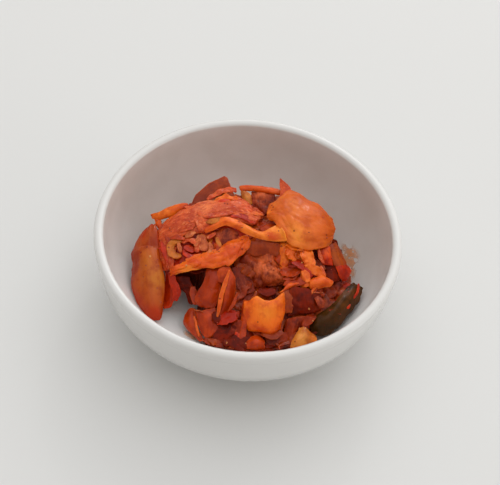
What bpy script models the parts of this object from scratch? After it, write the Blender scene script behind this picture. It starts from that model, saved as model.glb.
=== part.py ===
"""Small round bowl of cabbage kimchi.

Two solids stand in one frame: a turned, glazed bowl on a foot ring, and the heap of kimchi that
fills its lower part. The origin is the centre of the foot ring on the table, +Z is up, and the
side that a diner sees faces -Y. All sizes are in metres.
"""

import math
from typing import NamedTuple

import bmesh
import bpy

MM = 0.001

# Driving dimensions of the bowl
BOWL_RADIUS = 60.0 * MM
BOWL_HEIGHT = 41.0 * MM
RIM_WIDTH = 3.8 * MM
RIM_DROP = 1.5 * MM
BEAD_INSET = 0.35 * MM
BEAD_DEPTH = 3.4 * MM
INNER_DEPTH = 37.0 * MM
INNER_POWER = 2.75
OUTER_POWER = 2.65
FOOT_OUTER_RADIUS = 29.0 * MM
FOOT_INNER_RADIUS = 25.0 * MM
FOOT_RECESS = 1.3 * MM
FOOT_CHAMFER = 0.4 * MM
BOWL_SEGMENTS = 80

# Driving dimensions of the heap
HEAP_CENTRE = (0.0, -3.0 * MM)
HEAP_CLEARANCE = 0.5 * MM
HEAP_EDGE = 1.2 * MM
HEAP_SEGMENTS = 76
HEAP_RINGS = 30
HEAP_TOP_RINGS = 23
MARCH_STEP = 0.25 * MM
SIDE_FALL = 0.45
CROWN = 1.0 * MM
BLEND_POWER = 14
SOFTENING = 1.1 * MM
SOFTENING_POINTS = 6


class Piece(NamedTuple):
    """One cut of cabbage as a rounded slab in the heap, in millimetres and degrees."""

    name: str
    x: float
    y: float
    top: float
    half_length: float
    half_width: float
    turn: float
    rise_along: float
    rise_across: float


PIECES = (
    Piece("base_mound", 1, -1, 16.0, 38, 35, 0, 0.0, 0.0),
    Piece("left_stem", -37, -6, 18.5, 20, 8.5, 97, 0.24, -0.30),
    Piece("top_left_strip", -32, 17, 25.0, 10, 4.5, 24, 0.02, 0.0),
    Piece("back_left_leaf", -17, 29, 25.5, 11, 6, 48, 0.12, 0.0),
    Piece("folded_bundle", -17, 13, 31.0, 21, 12.5, 12, 0.02, 0.06),
    Piece("lower_lip", -15, -5, 28.0, 16, 5, 28, 0.03, 0.15),
    Piece("stem_slice", 22, 16, 31.5, 14.5, 13, -25, -0.02, -0.04),
    Piece("back_stem", 4, 32, 24.0, 13, 6, 4, 0.0, -0.05),
    Piece("centre_leaf", 4, -5, 26.0, 14, 10, -8, 0.0, 0.12),
    Piece("hanging_leaf", -14, -25, 21.0, 16, 7, 84, 0.32, 0.0),
    Piece("narrow_leaf", -5, -23, 22.5, 14, 4.5, 78, 0.30, 0.0),
    Piece("stem_block", 9, -24, 24.0, 9, 8.5, -4, 0.02, 0.15),
    Piece("front_rolls", 7, -38, 18.5, 13, 6.5, 0, 0.0, 0.10),
    Piece("front_right_bit", 24, -36, 18.0, 10, 6, 22, 0.0, 0.08),
    Piece("ruffled_leaf", 21, -3, 27.5, 12, 9.5, -18, -0.04, 0.10),
    Piece("right_leaf", 36, 5, 23.5, 13, 6, -58, 0.20, 0.0),
    Piece("dark_green_leaf", 36, -18, 20.5, 16, 8, 52, 0.05, 0.12),
    Piece("dark_red_leaf", 22, -20, 22.5, 11, 9, 10, 0.0, 0.12),
)


def clear_scene() -> None:
    """Removes every object that the file opened with."""
    for obj in list(bpy.data.objects):
        bpy.data.objects.remove(obj, do_unlink=True)


def make_material(name: str, colour: tuple, roughness: float, metallic: float) -> bpy.types.Material:
    """Makes a Principled material of one colour."""
    material = bpy.data.materials.new(name)
    material.use_nodes = True
    shader = material.node_tree.nodes["Principled BSDF"]
    shader.inputs["Base Color"].default_value = (*colour, 1.0)
    shader.inputs["Roughness"].default_value = roughness
    shader.inputs["Metallic"].default_value = metallic
    return material


def link_object(name: str, mesh: bpy.types.Mesh, material: bpy.types.Material) -> bpy.types.Object:
    """Puts a mesh in the scene under its node name, with its material."""
    mesh.materials.append(material)
    obj = bpy.data.objects.new(name, mesh)
    bpy.context.scene.collection.objects.link(obj)
    return obj


def superellipse_radius(radius: float, depth: float, power: float, drop: float) -> float:
    """Radius of a rounded bowl wall at a given drop below its mouth."""
    share = min(max(drop / depth, 0.0), 1.0)
    return radius * (1.0 - share**power) ** (1.0 / power)


def superellipse_drop(radius: float, depth: float, power: float, at: float) -> float:
    """Drop of a rounded bowl wall below its mouth at a given radius."""
    share = min(max(at / radius, 0.0), 1.0)
    return depth * (1.0 - share**power) ** (1.0 / power)


def outer_wall(steps: int) -> list:
    """Outline of the outside, from under the rim bead down to the foot ring."""
    mouth = BOWL_HEIGHT - RIM_DROP
    radius = BOWL_RADIUS - BEAD_INSET
    foot_drop = superellipse_drop(radius, mouth, OUTER_POWER, FOOT_OUTER_RADIUS)
    points = []
    for i in range(steps + 1):
        share = math.sin(0.5 * math.pi * i / steps) ** 0.9
        drop = BEAD_DEPTH + (foot_drop - BEAD_DEPTH) * share
        points.append((superellipse_radius(radius, mouth, OUTER_POWER, drop), mouth - drop))
    return points


def foot_ring() -> list:
    """Outline of the foot ring and of the shallow recess that it surrounds."""
    return [
        (FOOT_OUTER_RADIUS, FOOT_CHAMFER),
        (FOOT_OUTER_RADIUS - FOOT_CHAMFER, 0.0),
        (FOOT_INNER_RADIUS + FOOT_CHAMFER, 0.0),
        (FOOT_INNER_RADIUS, FOOT_CHAMFER),
        (FOOT_INNER_RADIUS - 2.0 * FOOT_CHAMFER, FOOT_RECESS),
    ]


def inner_wall(steps: int) -> list:
    """Outline of the inside, from the centre of the floor up to the rim."""
    radius = BOWL_RADIUS - RIM_WIDTH
    points = []
    for i in range(1, steps + 1):
        angle = 0.5 * math.pi * i / steps
        at = radius * math.sin(angle) ** (2.0 / INNER_POWER)
        drop = superellipse_drop(radius, INNER_DEPTH, INNER_POWER, at)
        if drop > RIM_WIDTH:
            points.append((at, BOWL_HEIGHT - drop))
    return points


def rim_arc(steps: int) -> list:
    """Outline of the rounded rim bead, from the inside over the top to the outside."""
    radius_x = RIM_WIDTH / 2.0
    centre_x = BOWL_RADIUS - radius_x
    points = []
    for i in range(steps + 1):
        angle = math.pi - math.pi * i / steps
        x = centre_x + radius_x * math.cos(angle)
        z = BOWL_HEIGHT - RIM_DROP + RIM_DROP * math.sin(angle)
        points.append((x, z))
    return points


def bead_underside() -> list:
    """Outline from the widest point of the bead, in to the body below it."""
    mouth = BOWL_HEIGHT - RIM_DROP
    return [
        (BOWL_RADIUS, mouth - 0.55 * BEAD_DEPTH),
        (BOWL_RADIUS - 0.4 * BEAD_INSET, mouth - 0.8 * BEAD_DEPTH),
    ]


def bowl_outline() -> list:
    """Whole section of the bowl, from the floor's centre to the recess's centre."""
    upper = inner_wall(steps=12) + rim_arc(steps=6) + bead_underside()
    lower = outer_wall(steps=7) + foot_ring()
    return [(0.0, BOWL_HEIGHT - INNER_DEPTH)] + upper + lower + [(0.0, FOOT_RECESS)]


def build_bowl() -> bpy.types.Object:
    """Turns the bowl's section round the Z axis with a Screw modifier."""
    outline = bowl_outline()
    mesh = bpy.data.meshes.new("bowl")
    vertices = [(x, 0.0, z) for x, z in outline]
    edges = [(i, i + 1) for i in range(len(outline) - 1)]
    mesh.from_pydata(vertices, edges, [])
    bowl = link_object("bowl", mesh, make_material("glazed_white", (0.80, 0.80, 0.78), 0.22, 0.0))
    screw = bowl.modifiers.new("turn", "SCREW")
    screw.axis = "Z"
    screw.angle = 2.0 * math.pi
    screw.steps = BOWL_SEGMENTS
    screw.render_steps = BOWL_SEGMENTS
    screw.use_merge_vertices = True
    screw.merge_threshold = 0.00001
    screw.use_smooth_shade = True
    return bowl


def bowl_floor(x: float, y: float) -> float:
    """Height of the surface that the heap rests on, just clear of the bowl."""
    radius = BOWL_RADIUS - RIM_WIDTH - HEAP_CLEARANCE
    depth = INNER_DEPTH - HEAP_CLEARANCE
    return BOWL_HEIGHT - superellipse_drop(radius, depth, INNER_POWER, math.hypot(x, y))


def piece_rise(piece: Piece, x: float, y: float) -> float:
    """Height of one piece's top above the bowl at a point, falling to none outside its outline."""
    turn = math.radians(piece.turn)
    dx = x - piece.x * MM
    dy = y - piece.y * MM
    along = dx * math.cos(turn) + dy * math.sin(turn)
    across = dy * math.cos(turn) - dx * math.sin(turn)
    share = (abs(along) / (piece.half_length * MM)) ** 3 + (abs(across) / (piece.half_width * MM)) ** 3
    reach = share ** (1.0 / 3.0)
    fall = min(max((1.0 + SIDE_FALL - reach) / SIDE_FALL, 0.0), 1.0)
    eased = fall * fall * (3.0 - 2.0 * fall)
    crown = CROWN * max(0.0, 1.0 - reach * reach)
    top = piece.top * MM + along * piece.rise_along + across * piece.rise_across + crown
    return max(0.0, top - bowl_floor(x, y)) * eased


def heap_top(x: float, y: float) -> float:
    """Height of the heap over a point: its highest pieces, softly blended."""
    total = sum((piece_rise(piece, x, y) / MM) ** BLEND_POWER for piece in PIECES)
    return bowl_floor(x, y) + MM * total ** (1.0 / BLEND_POWER)


def softened_top(x: float, y: float) -> float:
    """Height of the heap over a point, averaged over a small ring round it."""
    total = heap_top(x, y)
    for i in range(SOFTENING_POINTS):
        angle = 2.0 * math.pi * i / SOFTENING_POINTS
        total += heap_top(x + SOFTENING * math.cos(angle), y + SOFTENING * math.sin(angle))
    return total / (SOFTENING_POINTS + 1)


def heap_reach(angle: float) -> float:
    """Distance from the heap's centre to its edge in one direction."""
    reach = MARCH_STEP
    while reach < BOWL_RADIUS:
        x = HEAP_CENTRE[0] + (reach + MARCH_STEP) * math.cos(angle)
        y = HEAP_CENTRE[1] + (reach + MARCH_STEP) * math.sin(angle)
        inside = math.hypot(x, y) < BOWL_RADIUS - RIM_WIDTH - 2.0 * HEAP_CLEARANCE
        if not inside or heap_top(x, y) - bowl_floor(x, y) < HEAP_EDGE:
            break
        reach += MARCH_STEP
    return reach


def build_heap() -> bpy.types.Object:
    """Opens a globe out into the heap: its upper rings follow the pieces, the rest the bowl."""
    shape = bmesh.new()
    bmesh.ops.create_uvsphere(shape, u_segments=HEAP_SEGMENTS, v_segments=HEAP_RINGS, radius=1.0)
    step = 2.0 * math.pi / HEAP_SEGMENTS
    reaches = [heap_reach(i * step) for i in range(HEAP_SEGMENTS)]
    smooth = [
        (reaches[i - 1] + 2.0 * reaches[i] + reaches[(i + 1) % HEAP_SEGMENTS]) / 4.0
        for i in range(HEAP_SEGMENTS)
    ]
    for vertex in shape.verts:
        ring = round(math.acos(max(-1.0, min(1.0, vertex.co.z))) / math.pi * HEAP_RINGS)
        angle = math.atan2(vertex.co.y, vertex.co.x)
        edge = smooth[round(angle / step) % HEAP_SEGMENTS]
        if ring <= HEAP_TOP_RINGS:
            share = ring / HEAP_TOP_RINGS
        else:
            share = (HEAP_RINGS - ring) / (HEAP_RINGS - HEAP_TOP_RINGS)
        x = HEAP_CENTRE[0] + edge * share * math.cos(angle)
        y = HEAP_CENTRE[1] + edge * share * math.sin(angle)
        floor = bowl_floor(x, y)
        if ring < HEAP_TOP_RINGS:
            z = max(softened_top(x, y), floor + HEAP_EDGE)
        elif ring == HEAP_TOP_RINGS:
            z = floor + 0.5 * HEAP_EDGE
        else:
            z = floor
        vertex.co = (x, y, z)
    mesh = bpy.data.meshes.new("kimchi_heap")
    shape.to_mesh(mesh)
    shape.free()
    mesh.shade_smooth()
    return link_object("kimchi_heap", mesh, make_material("kimchi_red", (0.52, 0.10, 0.02), 0.35, 0.0))


def main() -> None:
    """Builds the bowl and the heap of kimchi in it."""
    clear_scene()
    build_bowl()
    build_heap()


main()
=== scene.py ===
"""Kimchi in a small white bowl: the looks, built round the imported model.

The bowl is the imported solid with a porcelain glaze. The heap's solid is replaced by its real
pieces: cut leaves and stems of cabbage over a smaller core, with chili flakes and a little juice.
Sizes are in millimetres in the classes and turned to metres where a mesh is made.
"""

import logging
import math
from dataclasses import dataclass, field
from enum import Enum

import bmesh
import bpy
import numpy as np
from mathutils import Matrix, Vector
from mathutils.bvhtree import BVHTree


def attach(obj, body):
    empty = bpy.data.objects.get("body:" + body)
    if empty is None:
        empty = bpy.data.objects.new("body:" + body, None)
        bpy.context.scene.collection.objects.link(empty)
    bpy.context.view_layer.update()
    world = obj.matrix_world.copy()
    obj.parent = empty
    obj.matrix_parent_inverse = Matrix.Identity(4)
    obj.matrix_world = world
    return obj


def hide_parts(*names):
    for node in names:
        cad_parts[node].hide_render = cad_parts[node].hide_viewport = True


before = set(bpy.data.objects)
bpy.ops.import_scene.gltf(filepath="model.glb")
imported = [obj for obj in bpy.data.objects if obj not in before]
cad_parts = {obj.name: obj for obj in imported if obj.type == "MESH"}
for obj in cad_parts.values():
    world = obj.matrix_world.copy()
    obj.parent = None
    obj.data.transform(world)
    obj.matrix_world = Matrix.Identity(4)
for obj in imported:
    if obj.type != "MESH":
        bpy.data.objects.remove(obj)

MM = 0.001
BODY = "root"
BOWL_NODE = "bowl"
HEAP_NODE = "kimchi_heap"
LOG = logging.getLogger("kimchi")

FULL_TURN = 2.0 * math.pi
DOWN = Vector((0.0, 0.0, -1.0))
# Height that rays are sent down from to find the food, in millimetres.
DROP_HEIGHT = 60.0

Point = tuple[float, float, float]
Rows = tuple[tuple[Point, ...], ...]


# ---------------------------------------------------------------- numbers and noise

LATTICE_PRIMES = (73856093, 19349663, 83492791)
SEED_PRIME = 40503
MIXING_PRIME = 1274126177
LATTICE_LEVELS = 4096
LAYER_SEED_STEP = 31
LAYER_SCALE = 1.5
SEED_RANGE = 9973


def linear_colour(code: str) -> tuple[float, float, float, float]:
    """Turns an sRGB hex colour to linear.

    Args:
        code: The colour, such as "#E0A060".

    Returns:
        Linear red, green, blue and an alpha of 1.
    """
    parts = [int(code[i : i + 2], 16) / 255.0 for i in (1, 3, 5)]
    linear = [c / 12.92 if c <= 0.04045 else ((c + 0.055) / 1.055) ** 2.4 for c in parts]
    return (linear[0], linear[1], linear[2], 1.0)


def cell_noise(points: np.ndarray, cell: float, seed: int) -> np.ndarray:
    """Smooth noise over a lattice of cells.

    Args:
        points: Places, one row each, in the cell's unit.
        cell: Size of a lattice cell.
        seed: Which lattice of values is read.

    Returns:
        A value from -1 to 1 for each row.
    """
    scaled = points / cell
    base = np.floor(scaled).astype(np.int64)
    part = scaled - base
    ease = part * part * (3.0 - 2.0 * part)
    total = np.zeros(len(points))
    for corner in range(8):
        step = np.array([(corner >> k) & 1 for k in range(3)])
        x, y, z = ((base + step)[:, k] * LATTICE_PRIMES[k] for k in range(3))
        mixed = x ^ y ^ z ^ (seed + 1) * SEED_PRIME
        mixed = ((mixed ^ (mixed >> 13)) * MIXING_PRIME) & 0x7FFFFFFF
        value = ((mixed >> 7) % LATTICE_LEVELS) / (0.5 * (LATTICE_LEVELS - 1)) - 1.0
        total += value * np.prod(np.where(step == 1, ease, 1.0 - ease), axis=1)
    return total


def layered_noise(points: np.ndarray, cell: float, seed: int, layers: int = 3) -> np.ndarray:
    """Noise with finer and weaker layers added.

    Args:
        points: Places, one row each.
        cell: Size of the coarsest cell.
        seed: Which lattice is read.
        layers: How many layers are added.

    Returns:
        A value of about -1 to 1 for each row.
    """
    total = np.zeros(len(points))
    for layer in range(layers):
        total += cell_noise(points, cell / 2.0**layer, seed + LAYER_SEED_STEP * layer) / 2.0**layer
    return total / LAYER_SCALE


def smooth_track(values: np.ndarray, places: np.ndarray) -> np.ndarray:
    """Reads a smooth curve through evenly numbered stations.

    Args:
        values: One row for each station.
        places: Station numbers to read at, whole or not.

    Returns:
        One row for each place.
    """
    last = len(values) - 1
    padded = np.vstack([2.0 * values[0] - values[1], values, 2.0 * values[-1] - values[-2]])
    index = np.clip(np.floor(places).astype(int), 0, last - 1)
    t = (places - index)[:, None]
    a, b, c, d = (padded[index + k] for k in range(4))
    square = (2.0 * a - 5.0 * b + 4.0 * c - d) * t**2
    cube = (3.0 * (b - c) + d - a) * t**3
    return 0.5 * (2.0 * b + (c - a) * t + square + cube)


def unit_rows(rows: np.ndarray) -> np.ndarray:
    """Scales each row to a length of one."""
    return rows / np.maximum(np.linalg.norm(rows, axis=1, keepdims=True), 1e-12)


def name_seed(name: str) -> int:
    """Gives each piece its own steady random seed."""
    return sum((i + 3) * ord(letter) for i, letter in enumerate(name)) % SEED_RANGE


# ---------------------------------------------------------------- finishes


def add_node(
    tree: bpy.types.NodeTree, kind: str, sockets: dict | None = None, **settings: object
) -> bpy.types.Node:
    """Adds a node with its settings and links.

    Args:
        tree: The node tree.
        kind: The node's type name.
        sockets: What goes in each input, by name or number: a value, or another node's output.
        settings: The node's own properties.

    Returns:
        The new node.
    """
    node = tree.nodes.new(kind)
    for key, value in settings.items():
        setattr(node, key, value)
    for key, value in (sockets or {}).items():
        if isinstance(value, bpy.types.NodeSocket):
            tree.links.new(value, node.inputs[key])
        else:
            node.inputs[key].default_value = value
    return node


def new_material(name: str) -> tuple[bpy.types.Material, bpy.types.NodeTree, bpy.types.NodeSocket]:
    """Makes an empty material.

    Args:
        name: The material's name.

    Returns:
        The material, its node tree and the object's own coordinates in metres.
    """
    material = bpy.data.materials.new(name)
    material.use_nodes = True
    tree = material.node_tree
    tree.nodes.clear()
    return material, tree, add_node(tree, "ShaderNodeTexCoord").outputs["Object"]


def finish_material(tree: bpy.types.NodeTree, **surface: object) -> None:
    """Ends a material with its surface.

    Args:
        tree: The material's node tree.
        surface: The surface's inputs, with underscores for the spaces in their names.
    """
    sockets = {key.replace("_", " "): value for key, value in surface.items()}
    shader = add_node(tree, "ShaderNodeBsdfPrincipled", sockets)
    add_node(tree, "ShaderNodeOutputMaterial", {"Surface": shader.outputs["BSDF"]})


@dataclass(frozen=True)
class CabbageFinish:
    """Wet fermented cabbage, salted soft and soaked in chili juice.

    The eye sees colour that has sunk into the leaf, paler flesh where it is thick, a margin of
    its own tone, veins along the leaf, specks of chili, a broken wet shine and painted highlight dots.
    """

    name: str
    main: str
    deep: str
    pale: str
    rim: str
    fleck: str = "#7A1404"
    blotch_mm: float = 5.0
    vein_mm: float = 0.9
    # size of the pale dots painted as wet highlights
    painted_glint_mm: float = 0.75
    fine_mm: float = 0.8
    fleck_mm: float = 2.2
    vein_tone: float = 0.35
    vein_bump: float = 0.35
    fine_bump: float = 0.4
    fleck_bump: float = 0.5
    blotch_bump: float = 0.6
    relief_mm: float = 0.3
    fleck_share: float = 0.10
    streak: float = 0.2
    # share of the pale dots painted as wet highlights
    painted_glint_share: float = 0.0
    roughness: float = 0.36
    roughness_spread: float = 0.12
    ior: float = 1.34
    glow: float = 0.16
    glow_mm: float = 1.2
    specular: float = 0.25
    coat: float = 0.35

    def material(self) -> bpy.types.Material:
        """Makes the finish's material, or finds it if it is already made."""
        found = bpy.data.materials.get(self.name)
        if found:
            return found
        material, tree, place = new_material(self.name)
        stored = {
            mark: add_node(tree, "ShaderNodeAttribute", attribute_name=mark.value).outputs["Fac"]
            for mark in Mark
        }
        spot = add_node(
            tree, "ShaderNodeVectorMath", {0: place, "Scale": 1.0 / MM}, operation="SCALE"
        ).outputs[0]
        grain = add_node(tree, "ShaderNodeAttribute", attribute_name="grain").outputs["Vector"]
        # veins run along the leaf, about six times longer than they are wide
        drawn = {"Vector": grain, "Scale": (self.streak, 1.0, 1.0)}
        along = add_node(tree, "ShaderNodeMapping", drawn).outputs["Vector"]
        # each noise: where it is read, the size of its features in millimetres and its detail
        veins, blotches, fine, glint_noise = (
            add_node(
                tree, "ShaderNodeTexNoise",
                {"Vector": vector, "Scale": 1.0 / size, "Detail": detail, "Roughness": 0.6},
            ).outputs["Fac"]
            for vector, size, detail in (
                (along, self.vein_mm, 4.0), (spot, self.blotch_mm, 4.0), (spot, self.fine_mm, 3.0),
                (along, self.painted_glint_mm, 3.0),
            )
        )
        cells = add_node(tree, "ShaderNodeTexVoronoi", {"Vector": spot, "Scale": 1.0 / self.fleck_mm})
        pick = add_node(tree, "ShaderNodeSeparateColor", {0: cells.outputs["Color"]}).outputs[0]
        # each soft mask: what it is made from, where it starts, where it is full, and its value there
        blotch, thick, margin, vein, painted_glint, speck, chosen = (
            add_node(
                tree, "ShaderNodeMapRange", {0: value, 1: low, 2: high, 3: 0.0, 4: top},
                interpolation_type="SMOOTHSTEP",
            ).outputs[0]
            for value, low, high, top in (
                (blotches, 0.40, 0.64, 1.0),
                (blotches, 0.74, 0.36, 1.0),
                (stored[Mark.BRIGHT], 0.25, 1.0, 0.9),
                (veins, 0.46, 0.62, self.vein_tone),
                # painted highlights: pale dots where the glint noise is high
                (glint_noise, 0.56, 0.70, self.painted_glint_share),
                (cells.outputs["Distance"], 0.24, 0.12, 0.85),
                (pick, self.fleck_share + 0.02, self.fleck_share - 0.02, 1.0),
            )
        )
        # flesh is the pale flesh and, on a few pieces, patches painted as highlights
        flesh, flecks, height = (
            add_node(tree, "ShaderNodeMath", {0: first, 1: second}, operation="MULTIPLY").outputs[0]
            for first, second in ((stored[Mark.PALE], thick), (speck, chosen), (veins, self.vein_bump))
        )
        # each layer of colour over the one before
        colour = linear_colour(self.main)
        for share, tone in (
            (blotch, self.deep), (flesh, self.pale), (stored[Mark.DEEP], self.deep), (margin, self.rim),
            (vein, self.deep), (painted_glint, self.pale), (flecks, self.fleck),
        ):
            colour = add_node(
                tree, "ShaderNodeMix", {0: share, 6: colour, 7: linear_colour(tone)}, data_type="RGBA"
            ).outputs[2]
        for part, share in ((fine, self.fine_bump), (flecks, self.fleck_bump), (blotches, self.blotch_bump)):
            height = add_node(
                tree, "ShaderNodeMath", {0: part, 1: share, 2: height}, operation="MULTIPLY_ADD"
            ).outputs[0]
        low, high = self.roughness - self.roughness_spread, self.roughness + self.roughness_spread
        rough = add_node(tree, "ShaderNodeMapRange", {0: fine, 1: 0.3, 2: 0.7, 3: low, 4: high}).outputs[0]
        relief = {"Strength": 0.5, "Distance": self.relief_mm * MM, "Height": height}
        finish_material(
            tree,
            Base_Color=colour,
            Roughness=rough,
            IOR=self.ior,
            Specular_IOR_Level=self.specular,
            Subsurface_Weight=self.glow,
            Subsurface_Radius=(1.0, 0.35, 0.12),
            Subsurface_Scale=self.glow_mm * MM,
            Coat_Weight=self.coat,
            Coat_Roughness=0.1,
            Coat_IOR=self.ior,
            Normal=add_node(tree, "ShaderNodeBump", relief).outputs["Normal"],
        )
        return material


# Broad rib that has lain in juice: ochre flesh under an orange-brown skin, red at the margin.
RIB_TAN = CabbageFinish(
    "cabbage_rib_tan", "#B54107", "#972A02", "#C46D1C", "#B72F02", blotch_mm=6.0, vein_mm=1.8, vein_tone=0.2,
)
# Rib sliced thin: amber flesh, pale where it is thick, with a thin bright margin.
RIB_AMBER = CabbageFinish(
    "cabbage_rib_amber", "#DC6415", "#C55006", "#F58E2F", "#F9841F", blotch_mm=7.0, vein_mm=2.4,
    vein_tone=0.15, vein_bump=0.2, fleck_share=0.08, glow=0.24, glow_mm=1.8,
)
# Thick rib cut square: vivid orange above, ochre below.
RIB_VIVID = CabbageFinish(
    "cabbage_rib_vivid", "#F77016", "#CF4706", "#F98F29", "#F98928", vein_mm=1.6, vein_tone=0.2,
    fleck_share=0.16, glow=0.22, glow_mm=1.6,
)
# Yellow-white heart of the rib that has taken little colour.
RIB_YELLOW = CabbageFinish(
    "cabbage_rib_yellow", "#D77927", "#B15814", "#EEA451", "#DB6D21", blotch_mm=4.0, vein_mm=1.4,
    vein_tone=0.15, glow=0.24, glow_mm=1.6,
)
# Thin leaf edge, vivid orange where light comes through.
LEAF_VIVID = CabbageFinish(
    "cabbage_leaf_vivid_orange", "#F46F1C", "#D24B0A", "#F9912B", "#F9932C", blotch_mm=4.0, vein_tone=0.25,
)
# Leaf stained orange red, matt and even.
LEAF_ORANGE_RED = CabbageFinish(
    "cabbage_leaf_orange_red", "#C13F07", "#9C2A03", "#DA5811", "#D8530D", blotch_mm=6.0, vein_tone=0.25,
)
# Folded inner leaves: salmon pink, finely ridged, with painted highlights of wet juice along them.
LEAF_SALMON = CabbageFinish(
    "cabbage_leaf_salmon", "#DD5C29", "#B83A12", "#F99255", "#F05A22", blotch_mm=3.5, vein_mm=0.8,
    vein_tone=0.6, vein_bump=1.0, fleck_share=0.2, painted_glint_share=0.6, roughness=0.3, streak=0.4,
)
# Young curled leaves inside the fold: pale and translucent, with painted highlight dots.
LEAF_CREAM = CabbageFinish(
    "cabbage_leaf_cream", "#D56D34", "#A63C13", "#F9A067", "#EA8348", blotch_mm=2.5, vein_tone=0.4,
    painted_glint_share=0.4,
)
# Crumpled leaf, brown red, with pinkish dots painted on it as highlights.
LEAF_BROWN = CabbageFinish(
    "cabbage_leaf_brown_red", "#9C3006", "#6E1702", "#E9733F", "#B03E0C", blotch_mm=3.5, vein_tone=0.3,
    vein_bump=0.6, painted_glint_share=0.25, specular=0.18, coat=0.25,
)
# Brown leaf turned to the light.
LEAF_RUSSET = CabbageFinish(
    "cabbage_leaf_russet", "#AD4007", "#872903", "#CB6419", "#CB570D", vein_tone=0.3,
)
# Thin leaf soaked through, glossy deep red.
LEAF_DEEP_RED = CabbageFinish(
    "cabbage_leaf_deep_red", "#D33402", "#A01B01", "#F96814", "#EC4103", blotch_mm=4.0,
)
# Leaf in the wettest part of the heap, nearly maroon.
# Nearly maroon leaf, used low in the heap and in its hollows; its darkness partly paints their shade.
LEAF_MAROON = CabbageFinish(
    "cabbage_leaf_maroon", "#7E1B00", "#540C00", "#AC3A04", "#A02A01", blotch_mm=4.5, vein_tone=0.3,
    glow=0.08, specular=0.1, coat=0.2,
)
# Outer leaf: dark olive brown under the juice.
LEAF_GREEN = CabbageFinish(
    "cabbage_leaf_olive", "#57300A", "#362008", "#854615", "#963609", fleck="#5A1406", blotch_mm=6.0,
    vein_tone=0.3, glow=0.06, specular=0.15, coat=0.25,
)
# Chili, radish and leaf shreds packed inside the heap; dark, partly to paint the shade in the gaps.
CORE_PASTE = CabbageFinish(
    "chili_paste_and_gap_shade", "#701A00", "#440E00", "#943205", "#822202", blotch_mm=2.5, fleck_share=0.3,
    glow=0.05, specular=0.1, coat=0.2,
)


@dataclass(frozen=True)
class PorcelainFinish:
    """White porcelain under a clear fired glaze: a soft shine, faint waves and a few tiny pits.

    Dried juice, painted bounce light and painted shade warm the upward inner wall, most at the back.
    """

    name: str = "glazed_porcelain_white"
    body: str = "#E4E4E2"
    shade: str = "#DAD9D6"
    # tint of the inner wall: part dried juice, part painted bounce light from the food and painted shade
    juice_and_bounce_tint: str = "#DCC4B6"
    # painted shade: the rim top and the outside of the bowl are a little darker
    painted_outer_shade: str = "#DAD9D6"
    juice_and_bounce_share: float = 0.5
    inner_edge_radius: float = 56.8
    inner_edge_fade: float = 0.8
    juice_and_bounce_reach: float = 30.0
    roughness: float = 0.24
    ior: float = 1.52
    wave_mm: float = 14.0
    pit_mm: float = 0.9
    pit_bump: float = 0.05
    relief_mm: float = 0.04

    def material(self) -> bpy.types.Material:
        """Makes the glaze's material."""
        material, tree, place = new_material(self.name)
        waves, pits = (
            add_node(
                tree, "ShaderNodeTexNoise", {"Vector": place, "Scale": 1.0 / (size * MM), "Detail": detail}
            ).outputs["Fac"]
            for size, detail in ((self.wave_mm, 3.0), (self.pit_mm, 2.0))
        )
        spot = add_node(tree, "ShaderNodeSeparateXYZ", {"Vector": place})
        flat = add_node(tree, "ShaderNodeCombineXYZ", {"X": spot.outputs["X"], "Y": spot.outputs["Y"]})
        radius = add_node(
            tree, "ShaderNodeVectorMath", {0: flat.outputs[0]}, operation="LENGTH"
        ).outputs["Value"]
        facing = add_node(tree, "ShaderNodeTexCoord").outputs["Normal"]
        upward = add_node(tree, "ShaderNodeSeparateXYZ", {"Vector": facing}).outputs["Z"]
        # each soft mask: what it is made from, where it starts, where it is full, and its value there
        wave, within, above, back = (
            add_node(
                tree, "ShaderNodeMapRange", {0: value, 1: low, 2: high, 3: 0.0, 4: top},
                interpolation_type="SMOOTHSTEP",
            ).outputs[0]
            for value, low, high, top in (
                (waves, 0.35, 0.7, 1.0),
                (radius, self.inner_edge_radius * MM, (self.inner_edge_radius - self.inner_edge_fade) * MM, 1.0),
                (upward, 0.0, 0.1, 1.0),
                (spot.outputs["Y"], -self.juice_and_bounce_reach * MM, self.juice_and_bounce_reach * MM, self.juice_and_bounce_share),
            )
        )
        # the inner wall's tint: part juice stain, part painted bounce light and painted shade, strongest at
        # the back
        juice_and_bounce_tint = within
        for mask in (above, back):
            juice_and_bounce_tint = add_node(tree, "ShaderNodeMath", {0: juice_and_bounce_tint, 1: mask}, operation="MULTIPLY").outputs[0]
        # painted shade on the rim top and the outside
        outside_shade_mask = add_node(
            tree, "ShaderNodeMapRange", {0: within, 1: 1.0, 2: 0.0}, interpolation_type="SMOOTHSTEP"
        ).outputs[0]
        colour = linear_colour(self.body)
        for share, tone in ((wave, self.shade), (juice_and_bounce_tint, self.juice_and_bounce_tint), (outside_shade_mask, self.painted_outer_shade)):
            colour = add_node(
                tree, "ShaderNodeMix", {0: share, 6: colour, 7: linear_colour(tone)}, data_type="RGBA"
            ).outputs[2]
        rough = add_node(
            tree, "ShaderNodeMapRange",
            {0: waves, 1: 0.3, 2: 0.7, 3: self.roughness - 0.02, 4: self.roughness + 0.03},
        ).outputs[0]
        height = add_node(
            tree, "ShaderNodeMath", {0: pits, 1: self.pit_bump, 2: waves}, operation="MULTIPLY_ADD"
        ).outputs[0]
        relief = {"Strength": 0.2, "Distance": self.relief_mm * MM, "Height": height}
        finish_material(
            tree,
            Base_Color=colour,
            Roughness=rough,
            IOR=self.ior,
            Coat_Weight=0.1,
            Coat_Roughness=0.2,
            Normal=add_node(tree, "ShaderNodeBump", relief).outputs["Normal"],
        )
        return material


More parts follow.
